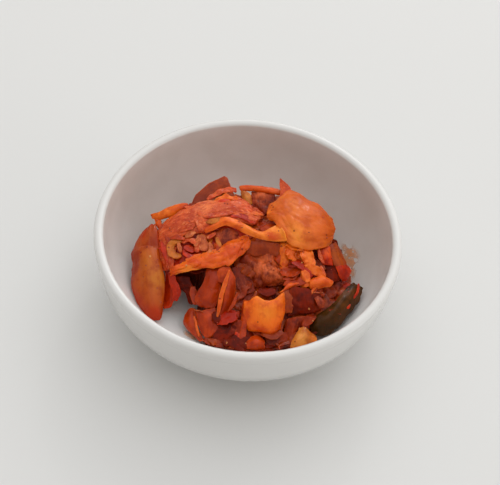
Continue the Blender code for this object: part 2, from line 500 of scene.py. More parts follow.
@dataclass(frozen=True)
class JuiceFinish:
    """Thin chili juice on the glaze: a clear orange film that fades out at its edge."""

    name: str = "chili_juice_film"
    thin: str = "#F8C6A2"
    thick: str = "#EC9458"
    strength: float = 0.8
    cloud_mm: float = 2.6
    roughness: float = 0.14
    ior: float = 1.34

    def material(self) -> bpy.types.Material:
        """Makes the film's material, or finds it if it is already made."""
        found = bpy.data.materials.get(self.name)
        if found:
            return found
        material, tree, place = new_material(self.name)
        depth = add_node(tree, "ShaderNodeAttribute", attribute_name=Mark.PALE.value).outputs["Fac"]
        cloud = add_node(
            tree, "ShaderNodeTexNoise", {"Vector": place, "Scale": 1.0 / (self.cloud_mm * MM), "Detail": 4.0}
        ).outputs["Fac"]
        soft = {"interpolation_type": "SMOOTHSTEP"}
        patches = add_node(tree, "ShaderNodeMapRange", {0: cloud, 1: 0.1, 2: 0.6}, **soft).outputs[0]
        broken = add_node(tree, "ShaderNodeMath", {0: depth, 1: patches}, operation="MULTIPLY").outputs[0]
        alpha = add_node(tree, "ShaderNodeMapRange", {0: broken, 1: 0.02, 2: 0.75, 4: self.strength}, **soft)
        tones = {0: broken, 6: linear_colour(self.thin), 7: linear_colour(self.thick)}
        relief = {"Strength": 0.2, "Distance": 0.1 * MM, "Height": cloud}
        finish_material(
            tree,
            Base_Color=add_node(tree, "ShaderNodeMix", tones, data_type="RGBA").outputs[2],
            Roughness=self.roughness,
            IOR=self.ior,
            Alpha=alpha.outputs[0],
            Normal=add_node(tree, "ShaderNodeBump", relief).outputs["Normal"],
        )
        return material


@dataclass(frozen=True)
class FlakeFinish:
    """Coarse dried chili flakes, wetted: dark red skin with a small sharp shine."""

    name: str = "chili_flake_wet"
    light: str = "#B23410"
    dark: str = "#7E1E08"
    tone_mm: float = 1.5
    roughness: float = 0.3
    ior: float = 1.42

    def material(self) -> bpy.types.Material:
        """Makes the flakes' material."""
        material, tree, place = new_material(self.name)
        tone = add_node(
            tree, "ShaderNodeTexNoise", {"Vector": place, "Scale": 1.0 / (self.tone_mm * MM), "Detail": 2.0}
        ).outputs["Fac"]
        share = add_node(
            tree, "ShaderNodeMapRange", {0: tone, 1: 0.35, 2: 0.65}, interpolation_type="SMOOTHSTEP"
        ).outputs[0]
        tones = {0: share, 6: linear_colour(self.light), 7: linear_colour(self.dark)}
        relief = {"Strength": 0.4, "Distance": 0.1 * MM, "Height": tone}
        finish_material(
            tree,
            Base_Color=add_node(tree, "ShaderNodeMix", tones, data_type="RGBA").outputs[2],
            Roughness=self.roughness,
            IOR=self.ior,
            Coat_Weight=0.4,
            Coat_Roughness=0.1,
            Normal=add_node(tree, "ShaderNodeBump", relief).outputs["Normal"],
        )
        return material


@dataclass(frozen=True)
class TableFinish:
    """Matt pale table top: one even tone with a barely seen grain."""

    name: str = "matt_pale_table"
    tone: str = "#DCDCDA"
    grain_mm: float = 1.2
    grain_tone: float = 0.985
    roughness: float = 0.7
    ior: float = 1.45

    def material(self) -> bpy.types.Material:
        """Makes the table's material."""
        material, tree, place = new_material(self.name)
        grain = add_node(
            tree, "ShaderNodeTexNoise", {"Vector": place, "Scale": 1.0 / (self.grain_mm * MM), "Detail": 2.0}
        ).outputs["Fac"]
        base = linear_colour(self.tone)
        darker = tuple(c * self.grain_tone for c in base[:3]) + (1.0,)
        colour = add_node(tree, "ShaderNodeMix", {0: grain, 6: base, 7: darker}, data_type="RGBA").outputs[2]
        finish_material(tree, Base_Color=colour, Roughness=self.roughness, IOR=self.ior)
        return material


# ---------------------------------------------------------------- mesh helpers


def mesh_object(name: str, points: np.ndarray, faces: list, material: bpy.types.Material) -> bpy.types.Object:
    """Makes a smooth-shaded mesh object from points in metres.

    Args:
        name: The piece's name.
        points: One row for each vertex.
        faces: Vertex numbers of each face.
        material: The piece's material.

    Returns:
        The new object, linked to the scene.
    """
    mesh = bpy.data.meshes.new(name)
    mesh.from_pydata(points.tolist(), [], faces)
    mesh.shade_smooth()
    mesh.materials.append(material)
    obj = bpy.data.objects.new(name, mesh)
    bpy.context.scene.collection.objects.link(obj)
    return obj


def write_attribute(mesh: bpy.types.Mesh, name: str, values: np.ndarray) -> None:
    """Stores one number or one vector for each vertex.

    Args:
        mesh: The mesh.
        name: The attribute's name.
        values: One value or one row of three for each vertex.
    """
    kind, key = ("FLOAT", "value") if values.ndim == 1 else ("FLOAT_VECTOR", "vector")
    mesh.attributes.new(name, kind, "POINT").data.foreach_set(key, values.astype(np.float32).ravel())


def claim(obj: bpy.types.Object, node: str | None = None) -> None:
    """Hangs a piece under the body's empty and hides the CAD node that it stands for.

    Args:
        obj: The piece.
        node: The CAD node that it stands for, if any.
    """
    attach(obj, BODY)
    if node:
        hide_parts(node)
    LOG.info("%s: %d faces", obj.name, len(obj.data.polygons))


class Mark(Enum):
    """What a local change of colour on a piece is, named as the mesh stores it."""

    # pale flesh of thick parts; on a few leaves also a pale patch painted as a highlight
    PALE = "flesh"
    DEEP = "stain"
    BRIGHT = "margin"


@dataclass(frozen=True)
class Tint:
    """A soft patch of colour: its place along and across the piece, from 0 to 1, and its reach in mm."""

    mark: Mark
    along: float
    across: float
    reach: float
    strength: float = 1.0


# Fewest and most steps along and across a sheet, and how many are added for its rounded edge.
FEWEST_STEPS = (8, 6)
MOST_STEPS = (260, 160)
EDGE_STEPS = 4

# What is added to a piece's seed for each layer of its noise.
END_SEED, RIPPLE_SEED, CRUMPLE_SEED, RIB_SEED, PIMPLE_SEED = 3, 7, 11, 23, 29


@dataclass(frozen=True)
class Net:
    """A sheet's points laid flat: their places along and across it from 0 to 1, and its size in mm."""

    a: np.ndarray
    b: np.ndarray
    length: float
    width: float
    shape: tuple[int, int]
    seed: int
    plane_gap: float = 7.0
    edge_gap: float = 30.0

    @staticmethod
    def spread(count: int) -> np.ndarray:
        """Places from 0 to 1 that lie closer together towards both ends."""
        curved = np.sin(np.linspace(-0.5 * math.pi, 0.5 * math.pi, count + 1))
        return 0.5 + 0.5 * (0.5 * curved + 0.5 * np.linspace(-1.0, 1.0, count + 1))

    def flat(self) -> np.ndarray:
        """Places in millimetres, each piece on its own plane of the noise."""
        return np.stack([self.a * self.length, (self.b - 0.5) * self.width, self.plane()], axis=1)

    def plane(self) -> np.ndarray:
        """The piece's plane of the noise, once for each point."""
        return np.full(len(self.a), self.plane_gap * self.seed)

    def side_line(self) -> np.ndarray:
        """Where the noise of each point's nearer side is read."""
        return np.stack([self.a * self.length, np.sign(self.b - 0.5) * self.edge_gap, self.plane()], axis=1)

    def end_line(self) -> np.ndarray:
        """Where the noise of each point's nearer end is read."""
        across = (self.b - 0.5) * self.width
        return np.stack([across, np.sign(self.a - 0.5) * self.edge_gap, self.plane()], axis=1)

    def to_end(self) -> np.ndarray:
        """Distance of each point from the nearer end, in millimetres."""
        return np.minimum(self.a, 1.0 - self.a) * self.length

    def to_side(self) -> np.ndarray:
        """Distance of each point from the nearer side, in millimetres."""
        return np.minimum(self.b, 1.0 - self.b) * self.width

    @staticmethod
    def normals(grid: np.ndarray) -> np.ndarray:
        """Upward unit normals of a grid of points."""
        cross = np.cross(np.gradient(grid, axis=1), np.gradient(grid, axis=0))
        cross /= np.maximum(np.linalg.norm(cross, axis=2, keepdims=True), 1e-9)
        return cross if cross[:, :, 2].mean() >= 0.0 else -cross

    @staticmethod
    def quads(index: np.ndarray) -> np.ndarray:
        """Faces between the points of a grid of vertex numbers."""
        ring = (index[:-1, :-1], index[1:, :-1], index[1:, 1:], index[:-1, 1:])
        return np.stack(ring, axis=-1).reshape(-1, 4)


@dataclass(frozen=True)
class Sheet:
    """One piece of cabbage: a curved sheet or slab through rows of control points, in millimetres.

    thick and edge are its thickness in the middle and at its edge, and swell is how far in it
    takes to fill out. ruffle, crumple, relief and jag are heights of its frill, its folds, its
    ribs and its torn edge. pale, stain and rim are how much each colour shows, from 0 to 1.
    """

    name: str
    finish: CabbageFinish
    rows: Rows
    thick: float = 0.8
    edge: float = 0.4
    swell: float = 2.5
    ruffle: float = 0.0
    ripple: float = 4.5
    ripple_cell: float = 5.0
    ripple_wander: float = 5.0
    ripple_rise: float = 1.3
    side_shift: float = 1.9
    crumple: float = 0.5
    crumple_cell: float = 4.0
    relief: float = 0.16
    relief_pitch: float = 1.4
    relief_stretch: float = 0.16
    relief_fade: float = 0.5
    pimple_cell: float = 0.9
    pimple_share: float = 0.4
    jag: float = 0.55
    jag_cell: float = 2.2
    jag_reach: float = 3.0
    corner: float = 0.7
    pale: float = 0.0
    pale_reach: float = 2.0
    stain: float = 0.0
    rim: float = 0.5
    rim_reach: float = 0.7
    tints: tuple[Tint, ...] = ()
    step: float = 0.45

    def net(self) -> Net:
        """Lays out the piece's net of points, fine enough for its size."""
        control = np.array(self.rows, float)
        length = np.linalg.norm(np.diff(control, axis=0), axis=2).sum(axis=0).max()
        width = np.linalg.norm(np.diff(control, axis=1), axis=2).sum(axis=1).max()
        n, m = (
            int(np.clip(math.ceil(size / self.step) + EDGE_STEPS, fewest, most))
            for size, fewest, most in zip((length, width), FEWEST_STEPS, MOST_STEPS)
        )
        a, b = (grid.ravel() for grid in np.meshgrid(Net.spread(n), Net.spread(m), indexing="ij"))
        return Net(a, b, length, width, (n + 1, m + 1), name_seed(self.name))

    def surface(self, along: np.ndarray, across: np.ndarray) -> np.ndarray:
        """Reads the smooth sheet through the control points.

        Args:
            along: Place along the piece from 0 to 1, one for each point.
            across: Place across it from 0 to 1, one for each point.

        Returns:
            One point for each pair, in millimetres.
        """
        control = np.array(self.rows, float)
        count, width = control.shape[:2]
        columns = smooth_track(control.reshape(count, -1), along * (count - 1)).reshape(-1, width, 3)
        # a ragged edge may reach a fifth of a station past the outer control points
        shares = smooth_track(np.eye(width), np.clip(across * (width - 1), -0.2, width - 0.8))
        total = np.zeros((len(along), 3))
        for k in range(width):
            total += shares[:, k, None] * columns[:, k]
        return total

    def outline(self, net: Net) -> tuple[np.ndarray, np.ndarray]:
        """Rounds the corners and tears the edges.

        Args:
            net: The piece's net.

        Returns:
            Each point's place along and across the piece.
        """
        turned = 1.0 - np.sqrt(1.0 - np.clip(1.0 - net.to_end() / self.corner, 0.0, 1.0) ** 2)
        narrow = 1.0 - 2.0 * self.corner / max(net.width, 2.0 * self.corner + 0.1) * turned
        side_pull, end_pull = (
            self.jag * layered_noise(line, self.jag_cell, seed) * np.clip(1.0 - gap / self.jag_reach, 0, 1)
            for line, seed, gap in (
                (net.side_line(), net.seed, net.to_side()),
                (net.end_line(), net.seed + END_SEED, net.to_end()),
            )
        )
        across = 0.5 + (net.b - 0.5) * narrow + np.sign(net.b - 0.5) * side_pull / net.width
        return net.a + np.sign(net.a - 0.5) * end_pull / net.length, across

    def middle(self, net: Net) -> np.ndarray:
        """Works out the surface half way through the piece, frilled and crumpled.

        Args:
            net: The piece's net.

        Returns:
            A grid of points in millimetres.
        """
        flat = self.surface(*self.outline(net)).reshape(*net.shape, 3)
        wave = FULL_TURN * (net.a * net.length) / self.ripple + self.side_shift * np.sign(net.b - 0.5)
        wander = cell_noise(net.side_line(), self.ripple_cell, net.seed + RIPPLE_SEED)
        wave = wave + self.ripple_wander * wander
        frill = np.clip(1.0 - net.to_side() / (0.5 * net.width), 0.0, 1.0) ** self.ripple_rise
        lift = self.ruffle * frill * np.sin(wave)
        lift = lift + self.crumple * layered_noise(net.flat(), self.crumple_cell, net.seed + CRUMPLE_SEED)
        return flat + Net.normals(flat) * lift.reshape(*net.shape, 1)

    def skins(self, net: Net, reach: np.ndarray) -> tuple[np.ndarray, np.ndarray]:
        """Works out the upper and the lower skin.

        Args:
            net: The piece's net.
            reach: Distance of each point from the nearest edge, in millimetres.

        Returns:
            Two grids of points in millimetres.
        """
        middle = self.middle(net)
        normal = Net.normals(middle)
        rounded = np.sqrt(1.0 - np.clip(1.0 - reach / (0.5 * self.edge), 0.0, 1.0) ** 2)
        filled = 1.0 - np.exp(-reach / self.swell)
        body = 0.5 * self.edge * rounded + 0.5 * (self.thick - self.edge) * filled
        fade = np.clip(reach / self.relief_fade, 0.0, 1.0)
        drawn = net.flat() * (self.relief_stretch, 1.0, 1.0)
        ribs = self.relief * layered_noise(drawn, self.relief_pitch, net.seed + RIB_SEED, 2) * fade
        pimples = cell_noise(net.flat(), self.pimple_cell, net.seed + PIMPLE_SEED)
        pimples = self.pimple_share * self.relief * pimples * fade
        top = middle + normal * (body + ribs + pimples).reshape(*net.shape, 1)
        return top, middle - normal * (body - 0.5 * ribs).reshape(*net.shape, 1)

    def colours(self, net: Net, reach: np.ndarray) -> dict[str, np.ndarray]:
        """Works out how much of each colour shows at each point.

        Args:
            net: The piece's net.
            reach: Distance of each point from the nearest edge, in millimetres.

        Returns:
            A share from 0 to 1 for each point, by the mark's stored name.
        """
        marks = {
            Mark.PALE: self.pale * (1.0 - np.exp(-reach / self.pale_reach)),
            Mark.DEEP: np.full(len(net.a), self.stain),
            Mark.BRIGHT: self.rim * np.exp(-((reach / self.rim_reach) ** 2)),
        }
        for tint in self.tints:
            gap = np.hypot((net.a - tint.along) * net.length, (net.b - tint.across) * net.width)
            marks[tint.mark] = marks[tint.mark] + tint.strength * np.exp(-((gap / tint.reach) ** 2))
        return {mark.value: np.clip(values, 0.0, 1.0) for mark, values in marks.items()}

    def shape(self) -> tuple[np.ndarray, np.ndarray, dict[str, np.ndarray]]:
        """Works out the piece's closed mesh.

        Returns:
            The points in millimetres, the faces, and the numbers stored on each point.
        """
        net = self.net()
        reach = np.minimum(net.to_end(), net.to_side())
        top, under = self.skins(net, reach)
        # both skins share the points along the edge, so that the mesh is closed
        inside = np.zeros(net.shape, bool)
        inside[1:-1, 1:-1] = True
        top_index = np.arange(inside.size).reshape(net.shape)
        under_index = top_index.copy()
        under_index[inside] = inside.size + np.arange(inside.sum())
        points = np.vstack([top.reshape(-1, 3), under[inside]])
        faces = np.vstack([Net.quads(top_index), Net.quads(under_index)[:, ::-1]])
        stored = {**self.colours(net, reach), "grain": net.flat()}
        return points, faces, {
            key: np.concatenate([values, values[inside.ravel()]]) for key, values in stored.items()
        }

    def build(self) -> bpy.types.Object:
        """Makes the piece as one object."""
        return join_sheets(self.name, (self,))


def join_sheets(name: str, sheets: tuple[Sheet, ...]) -> bpy.types.Object:
    """Makes one object of one or more sheets that share a finish.

    Args:
        name: The object's name.
        sheets: The sheets; the first gives the finish.

    Returns:
        The new object, every face turned outward.
    """
    points, faces, stored = [], [], {}
    count = 0
    for sheet in sheets:
        spots, quads, numbers = sheet.shape()
        points.append(spots)
        faces.append(quads + count)
        count += len(spots)
        for key, values in numbers.items():
            stored.setdefault(key, []).append(values)
    obj = mesh_object(name, np.vstack(points) * MM, np.vstack(faces).tolist(), sheets[0].finish.material())
    work = bmesh.new()
    work.from_mesh(obj.data)
    bmesh.ops.recalc_face_normals(work, faces=work.faces)
    work.to_mesh(obj.data)
    work.free()
    for key, values in stored.items():
        write_attribute(obj.data, key, np.concatenate(values))
    return obj


def strip_rows(
    spine: tuple[Point, ...], half: tuple[float, ...], lean: float = 0.0, curl: float = 0.0, points: int = 3
) -> Rows:
    """Turns a spine to control rows across it.

    Args:
        spine: The strip's middle line, in millimetres.
        half: Half its width at each station.
        lean: How far its left side is raised, in degrees.
        curl: The angle that it is bent through across its width, in degrees.
        points: How many control points lie across it.

    Returns:
        One row of control points for each station.
    """
    centre = np.array(spine, float)
    tangent = unit_rows(np.gradient(centre, axis=0))
    level = unit_rows(np.cross((0.0, 0.0, 1.0), tangent))
    up = np.cross(tangent, level)
    tilt, bend = math.radians(lean), max(math.radians(curl) / 2.0, 0.01)
    rows = []
    for i, width in enumerate(half):
        side = level[i] * math.cos(tilt) + up[i] * math.sin(tilt)
        face = up[i] * math.cos(tilt) - level[i] * math.sin(tilt)
        row = []
        for share in np.linspace(1.0, -1.0, points):
            out = width / bend * math.sin(bend * share)
            lift = width / bend * (math.cos(bend * share) - math.cos(bend))
            row.append(tuple(centre[i] + side * out + face * lift))
        rows.append(tuple(row))
    return tuple(rows)


def strip(
    name: str, finish: CabbageFinish, spine: tuple[Point, ...], half: tuple[float, ...], lean: float = 0.0,
    thick: float = 0.55, edge: float = 0.3, **look: float,
) -> Sheet:
    """Makes a narrow cut of leaf from its middle line.

    Args:
        name: The piece's name.
        finish: Its finish.
        spine: Its middle line, in millimetres.
        half: Half its width at each point of the line.
        lean: How far its left side is raised, in degrees.
        thick: Its thickness in the middle.
        edge: Its thickness at the edge.
        look: Any other field of a sheet.

    Returns:
        The piece as a sheet.
    """
    return Sheet(name, finish, strip_rows(spine, half, lean), thick=thick, edge=edge, **look)


# ---------------------------------------------------------------- sub-assemblies


@dataclass(frozen=True)
class Stain:
    """A thin film of juice: the place of its middle, half its longer side, its shape and its strength.

    aspect is its shorter side as a share of the longer, turn the angle of the longer side in
    degrees, and depth how strong it is in the middle, from 0 to 1.
    """

    name: str
    x: float
    y: float
    reach: float
    aspect: float
    turn: float
    depth: float


@dataclass
class Bowl:
    """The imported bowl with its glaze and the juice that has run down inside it."""

    glaze: PorcelainFinish = field(default_factory=PorcelainFinish)
    juice: JuiceFinish = field(default_factory=JuiceFinish)
    rim_height: float = 41.0
    inner_radius: float = 56.2
    inner_depth: float = 37.0
    inner_power: float = 2.75
    crease: float = 0.82
    film_gap: float = 0.06
    film_bulge: float = 0.10
    film_rings: int = 14
    film_spokes: int = 44
    film_wander: float = 0.34
    film_cell: float = 1.4
    film_fade: float = 1.6
    film_limit: float = 55.4
    stains: tuple[Stain, ...] = (
        Stain("juice_right_wall", 42.0, 14.5, 8.0, 0.5, 112.0, 0.85),
        Stain("juice_right_low", 43.5, 6.5, 4.5, 0.6, 100.0, 0.5),
        Stain("juice_right_front", 38.5, 1.5, 5.0, 0.6, 60.0, 0.7),
        Stain("juice_left_floor", -27.5, -14.0, 7.5, 0.6, 120.0, 0.3),
        Stain("juice_left_front", -18.5, -29.0, 5.0, 0.45, 150.0, 0.7),
        Stain("juice_back_left", -27.0, 33.0, 7.0, 0.45, 40.0, 0.25),
        Stain("juice_back_wall", 12.0, 42.5, 8.0, 0.4, -15.0, 0.3),
    )

    def wall_heights(self, radius: np.ndarray) -> np.ndarray:
        """Heights of the inner wall at distances from the axis, in millimetres."""
        share = np.clip(radius / self.inner_radius, 0.0, 0.9999)
        fall = (1.0 - share**self.inner_power) ** (1.0 / self.inner_power)
        return self.rim_height - self.inner_depth * fall

    def wall_height(self, radius: float) -> float:
        """Height of the inner wall at one distance from the axis, in millimetres."""
        return float(self.wall_heights(np.array([radius]))[0])

    def smooth_shading(self, bowl: bpy.types.Object) -> None:
        """Shades the turned faces as one curve and keeps the foot ring's corners crisp.

        Args:
            bowl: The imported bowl, whose points stay where they are.
        """
        mesh = bowl.data
        corners = np.zeros(len(mesh.loops), int)
        mesh.loops.foreach_get("vertex_index", corners)
        points = np.zeros(len(mesh.vertices) * 3)
        mesh.vertices.foreach_get("co", points)
        # points closer than 0.02 mm count as one
        keys = np.round(points.reshape(-1, 3) / (0.02 * MM)).astype(np.int64)[corners]
        faces = np.repeat(np.arange(len(mesh.polygons)), [p.loop_total for p in mesh.polygons])
        flat = np.array([tuple(p.normal) for p in mesh.polygons])
        area = np.array([p.area for p in mesh.polygons])
        _, group = np.unique(keys, axis=0, return_inverse=True)
        group = group.ravel()
        order = np.argsort(group, kind="stable")
        starts = np.flatnonzero(np.diff(np.concatenate([[-1], group[order]])))
        result = np.zeros((len(corners), 3))
        for members in np.split(order, starts[1:]):
            own = flat[faces[members]]
            near = own @ own.T > self.crease
            result[members] = (near * area[faces[members]][None, :]) @ own
        for polygon in mesh.polygons:
            polygon.use_smooth = True
        mesh.normals_split_custom_set(unit_rows(result).tolist())

    def glaze_bowl(self) -> None:
        """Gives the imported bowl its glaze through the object's own slots."""
        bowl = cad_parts[BOWL_NODE]
        self.smooth_shading(bowl)
        for entry in bowl.material_slots:
            entry.link = "OBJECT"
            entry.material = self.glaze.material()

    def on_wall(self, x: float, y: float, bulge: float) -> Point:
        """Finds the point just over the glaze above a place.

        Args:
            x: Left to right, in millimetres.
            y: Front to back, in millimetres.
            bulge: How far the point stands off the glaze.

        Returns:
            The point, in millimetres.
        """
        radius = math.hypot(x, y)
        if radius > self.film_limit:
            x, y = (c * self.film_limit / radius for c in (x, y))
            radius = self.film_limit
        slope = (self.wall_height(radius + 0.05) - self.wall_height(radius - 0.05)) / 0.1
        out = bulge / math.hypot(1.0, slope)
        pull = -slope * out / max(radius, 1e-6)
        return (x * (1.0 + pull), y * (1.0 + pull), self.wall_height(radius) + out)

    def lay_stain(self, stain: Stain) -> None:
        """Makes one thin film of juice on the inner wall.

        Args:
            stain: What the film is like.
        """
        seed = name_seed(stain.name)
        rings, spokes = self.film_rings, self.film_spokes
        angle = np.linspace(0.0, FULL_TURN, spokes, endpoint=False)
        outline = np.stack([np.cos(angle) * 2.0, np.sin(angle) * 2.0, np.full(spokes, float(seed))], axis=1)
        wander = 1.0 + self.film_wander * layered_noise(outline, self.film_cell, seed)
        ca, sa = math.cos(math.radians(stain.turn)), math.sin(math.radians(stain.turn))
        points, depths = [], []
        for ring in range(rings + 1):
            share = max(ring / rings, 0.02)
            for k in range(spokes):
                a = math.cos(angle[k]) * stain.reach * wander[k] * share
                b = math.sin(angle[k]) * stain.reach * stain.aspect * wander[k] * share
                bulge = self.film_gap + self.film_bulge * (1.0 - share)
                points.append(self.on_wall(stain.x + a * ca - b * sa, stain.y + a * sa + b * ca, bulge))
                depths.append(stain.depth * (1.0 - share**self.film_fade))
        index = np.arange(len(points)).reshape(rings + 1, spokes)
        faces = Net.quads(np.hstack([index, index[:, :1]])).tolist()
        faces.append(tuple(range(spokes - 1, -1, -1)))
        obj = mesh_object(stain.name, np.array(points) * MM, faces, self.juice.material())
        write_attribute(obj.data, Mark.PALE.value, np.array(depths))
        claim(obj)

    def build(self) -> None:
        """Dresses the bowl and lays the juice stains that show beside the heap."""
        self.glaze_bowl()
        for stain in self.stains:
            self.lay_stain(stain)


@dataclass
class HeapCore:
    """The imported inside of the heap, smaller than the solid that it stands for.

    Each hollow is a place, left to right and front to back, its reach and its depth.
    """

    cell: float = 1.1
    sink: float = 4.2
    sink_bias: float = 0.35
    rough: float = 1.1
    rough_cell: float = 3.4
    rough_seed: int = 5
    # how strongly the core is painted paler on its raised bumps and darker in its sunk ones, as shade
    painted_relief_shade: float = 0.6
    waist: float = 0.86
    lowering: float = 0.9
    floor_height: float = 4.6
    bury: float = 0.5
    hollow_power: float = 0.7
    middle: tuple[float, float] = (1.0, 0.0)
    hollows: tuple[tuple[float, float, float, float], ...] = (
        (-31.0, -26.0, 19.0, 60.0),
        (-28.0, -11.0, 12.0, 50.0),
        (-20.0, -30.0, 9.0, 40.0),
        (-40.0, -4.0, 12.0, 30.0),
    )

    def even_copy(self) -> bpy.types.Object:
        """Copies the heap's own solid with evenly spaced points."""
        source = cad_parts[HEAP_NODE]
        mesh = source.data.copy()
        mesh.name = "heap_core"
        mesh.materials.clear()
        mesh.materials.append(CORE_PASTE.material())
        core = bpy.data.objects.new("heap_core", mesh)
        core.matrix_world = source.matrix_world.copy()
        bpy.context.scene.collection.objects.link(core)
        modifier = core.modifiers.new("even_mesh", "REMESH")
        modifier.mode = "VOXEL"
        modifier.voxel_size = self.cell * MM
        graph = bpy.context.evaluated_depsgraph_get()
        even = bpy.data.meshes.new_from_object(core.evaluated_get(graph))
        core.modifiers.clear()
        core.data = even
        return core

    def build(self) -> bpy.types.Object:
        """Makes the core from the heap's own solid, drawn in and roughened."""
        core = self.even_copy()
        even = core.data
        count = len(even.vertices)
        points, normals = np.zeros(count * 3), np.zeros(count * 3)
        even.vertices.foreach_get("co", points)
        even.vertex_normals.foreach_get("vector", normals)
        points = points.reshape(-1, 3) / MM
        normals = normals.reshape(-1, 3)
        upward = np.clip(normals[:, 2] + self.sink_bias, 0.0, 1.0)
        rough = layered_noise(points, self.rough_cell, self.rough_seed)
        points -= normals * (self.sink * upward - self.rough * rough * upward)[:, None]
        for axis in (0, 1):
            points[:, axis] = self.middle[axis] + (points[:, axis] - self.middle[axis]) * self.waist
        height = (points[:, 2] - self.floor_height) * self.lowering
        for x, y, reach, depth in self.hollows:
            gap = np.hypot(points[:, 0] - x, points[:, 1] - y)
            height -= depth * np.clip(1.0 - gap / reach, 0.0, 1.0) ** self.hollow_power
        radius = np.hypot(points[:, 0], points[:, 1])
        points[:, 2] = np.maximum(self.floor_height + height, Bowl().wall_heights(radius) - self.bury)
        even.vertices.foreach_set("co", (points * MM).ravel())
        even.update()
        even.shade_smooth()
        write_attribute(even, "grain", points)
        # painted shade that follows the relief: paler where pushed out, deeper where pushed in
        for mark, values in ((Mark.PALE, rough), (Mark.BRIGHT, np.zeros(count)), (Mark.DEEP, -rough)):
            write_attribute(even, mark.value, np.clip(values, 0.0, 1.0) * self.painted_relief_shade)
        claim(core, HEAP_NODE)
        return core


@dataclass
class PieceGroup:
    """Pieces of cabbage that lie together."""

    pieces: tuple[Sheet, ...]

    def build(self) -> None:
        """Makes every piece of the group."""
        for piece in self.pieces:
            claim(piece.build(), HEAP_NODE)


# The broad rib at the left leans on the wall, with a red leaf behind its right side.
LEFT_RIBS = PieceGroup((
    Sheet("red_flap", LEAF_DEEP_RED, (
        ((-35, -0.5, 25.5), (-33, 0, 26), (-31, 1, 26.5)),
        ((-32.5, -4.5, 23.5), (-30.5, -4, 24), (-29, -3.5, 24.5)),
        ((-31.5, -8.5, 20.5), (-29.5, -8, 21.5), (-27.5, -7.5, 22.5)),
        ((-31, -13, 16.5), (-28.5, -13.5, 17.5), (-26.5, -13, 18.5)),
        ((-31, -16, 12.5), (-28.5, -16.5, 13.5), (-26.5, -16, 14.5)),
        ((-30.5, -19.5, 10.5), (-29, -19, 11), (-27.5, -18.5, 11.5)),
    ), thick=0.9, tints=(Tint(Mark.DEEP, 0.35, 0.5, 6, 0.8), Tint(Mark.BRIGHT, 0.95, 0.5, 4, 0.8))),
    Sheet("left_rib", RIB_TAN, (
        ((-39.5, 10, 25), (-38.5, 10.5, 26), (-37, 10, 26)),
        ((-43, 6.5, 22.5), (-39.5, 5, 25), (-35.5, 4.5, 26)),
        ((-44.5, 3, 20.5), (-39.5, 0.5, 23.5), (-34.5, 0, 24.5)),
        ((-45.5, -1.5, 19), (-40, -1, 23.5), (-34.5, -1, 24)),
        ((-44.5, -5, 18), (-38.5, -7, 23), (-33, -6.5, 23)),
        ((-44.5, -9, 17), (-37.5, -12, 22), (-31.5, -10.5, 21.5)),
        ((-44, -13.5, 15.5), (-37, -16, 20), (-30.5, -15, 19)),
        ((-41.5, -19, 14), (-35.5, -21, 17.5), (-30.5, -20, 16.5)),
        ((-38, -23, 13), (-34, -24.5, 15), (-30.5, -23, 14.5)),
        ((-34.5, -26, 12), (-32.5, -26.5, 12.5), (-31, -26, 12.5)),
    ), thick=3.0, edge=1.1, pale=0.2, crumple=0.35, crumple_cell=6.0, rim=0.8, corner=1.6,
        tints=(Tint(Mark.PALE, 0.6, 0.8, 5, 1), Tint(Mark.PALE, 0.45, 0.55, 5, 0.5),
               Tint(Mark.DEEP, 0.36, 0.05, 4, 0.9), Tint(Mark.DEEP, 0.12, 0.9, 4, 0.6),
               Tint(Mark.BRIGHT, 0.97, 0.5, 7, 1.4), Tint(Mark.BRIGHT, 0.75, 0.05, 4, 0.8),
               Tint(Mark.BRIGHT, 0.1, 0.3, 4, 0.8))),
    Sheet("top_left_strip", RIB_VIVID, (
        ((-40, 16, 25.5), (-39.5, 15.5, 25), (-39, 15, 24.5)),
        ((-37, 16, 27), (-36.5, 14.5, 27), (-36, 13.5, 25.5)),
        ((-33.5, 17.5, 28.5), (-32.5, 15, 29), (-31.5, 14, 27.5)),
        ((-29.5, 19, 30), (-28.5, 16.5, 30.5), (-27.5, 15.5, 29)),
        ((-25.5, 19, 31), (-25, 17.5, 31), (-24.5, 16.5, 30)),
    ), thick=1.8, edge=0.9, swell=1.5, rim=0.3, crumple=0.2,
        tints=(Tint(Mark.PALE, 0.4, 0.2, 3, 0.8), Tint(Mark.DEEP, 0.9, 0.6, 3, 0.8))),
    Sheet("strip_hook", RIB_VIVID, (
        ((-38.5, 15, 25), (-37.5, 15, 26), (-35.5, 14.5, 26.5)),
        ((-38, 12.5, 25), (-36.5, 12, 25.5), (-35, 12, 26)),
        ((-36.5, 10, 24.5), (-35.5, 9.5, 25), (-34.5, 10, 25.5)),
    ), thick=1.2, stain=0.5),
))

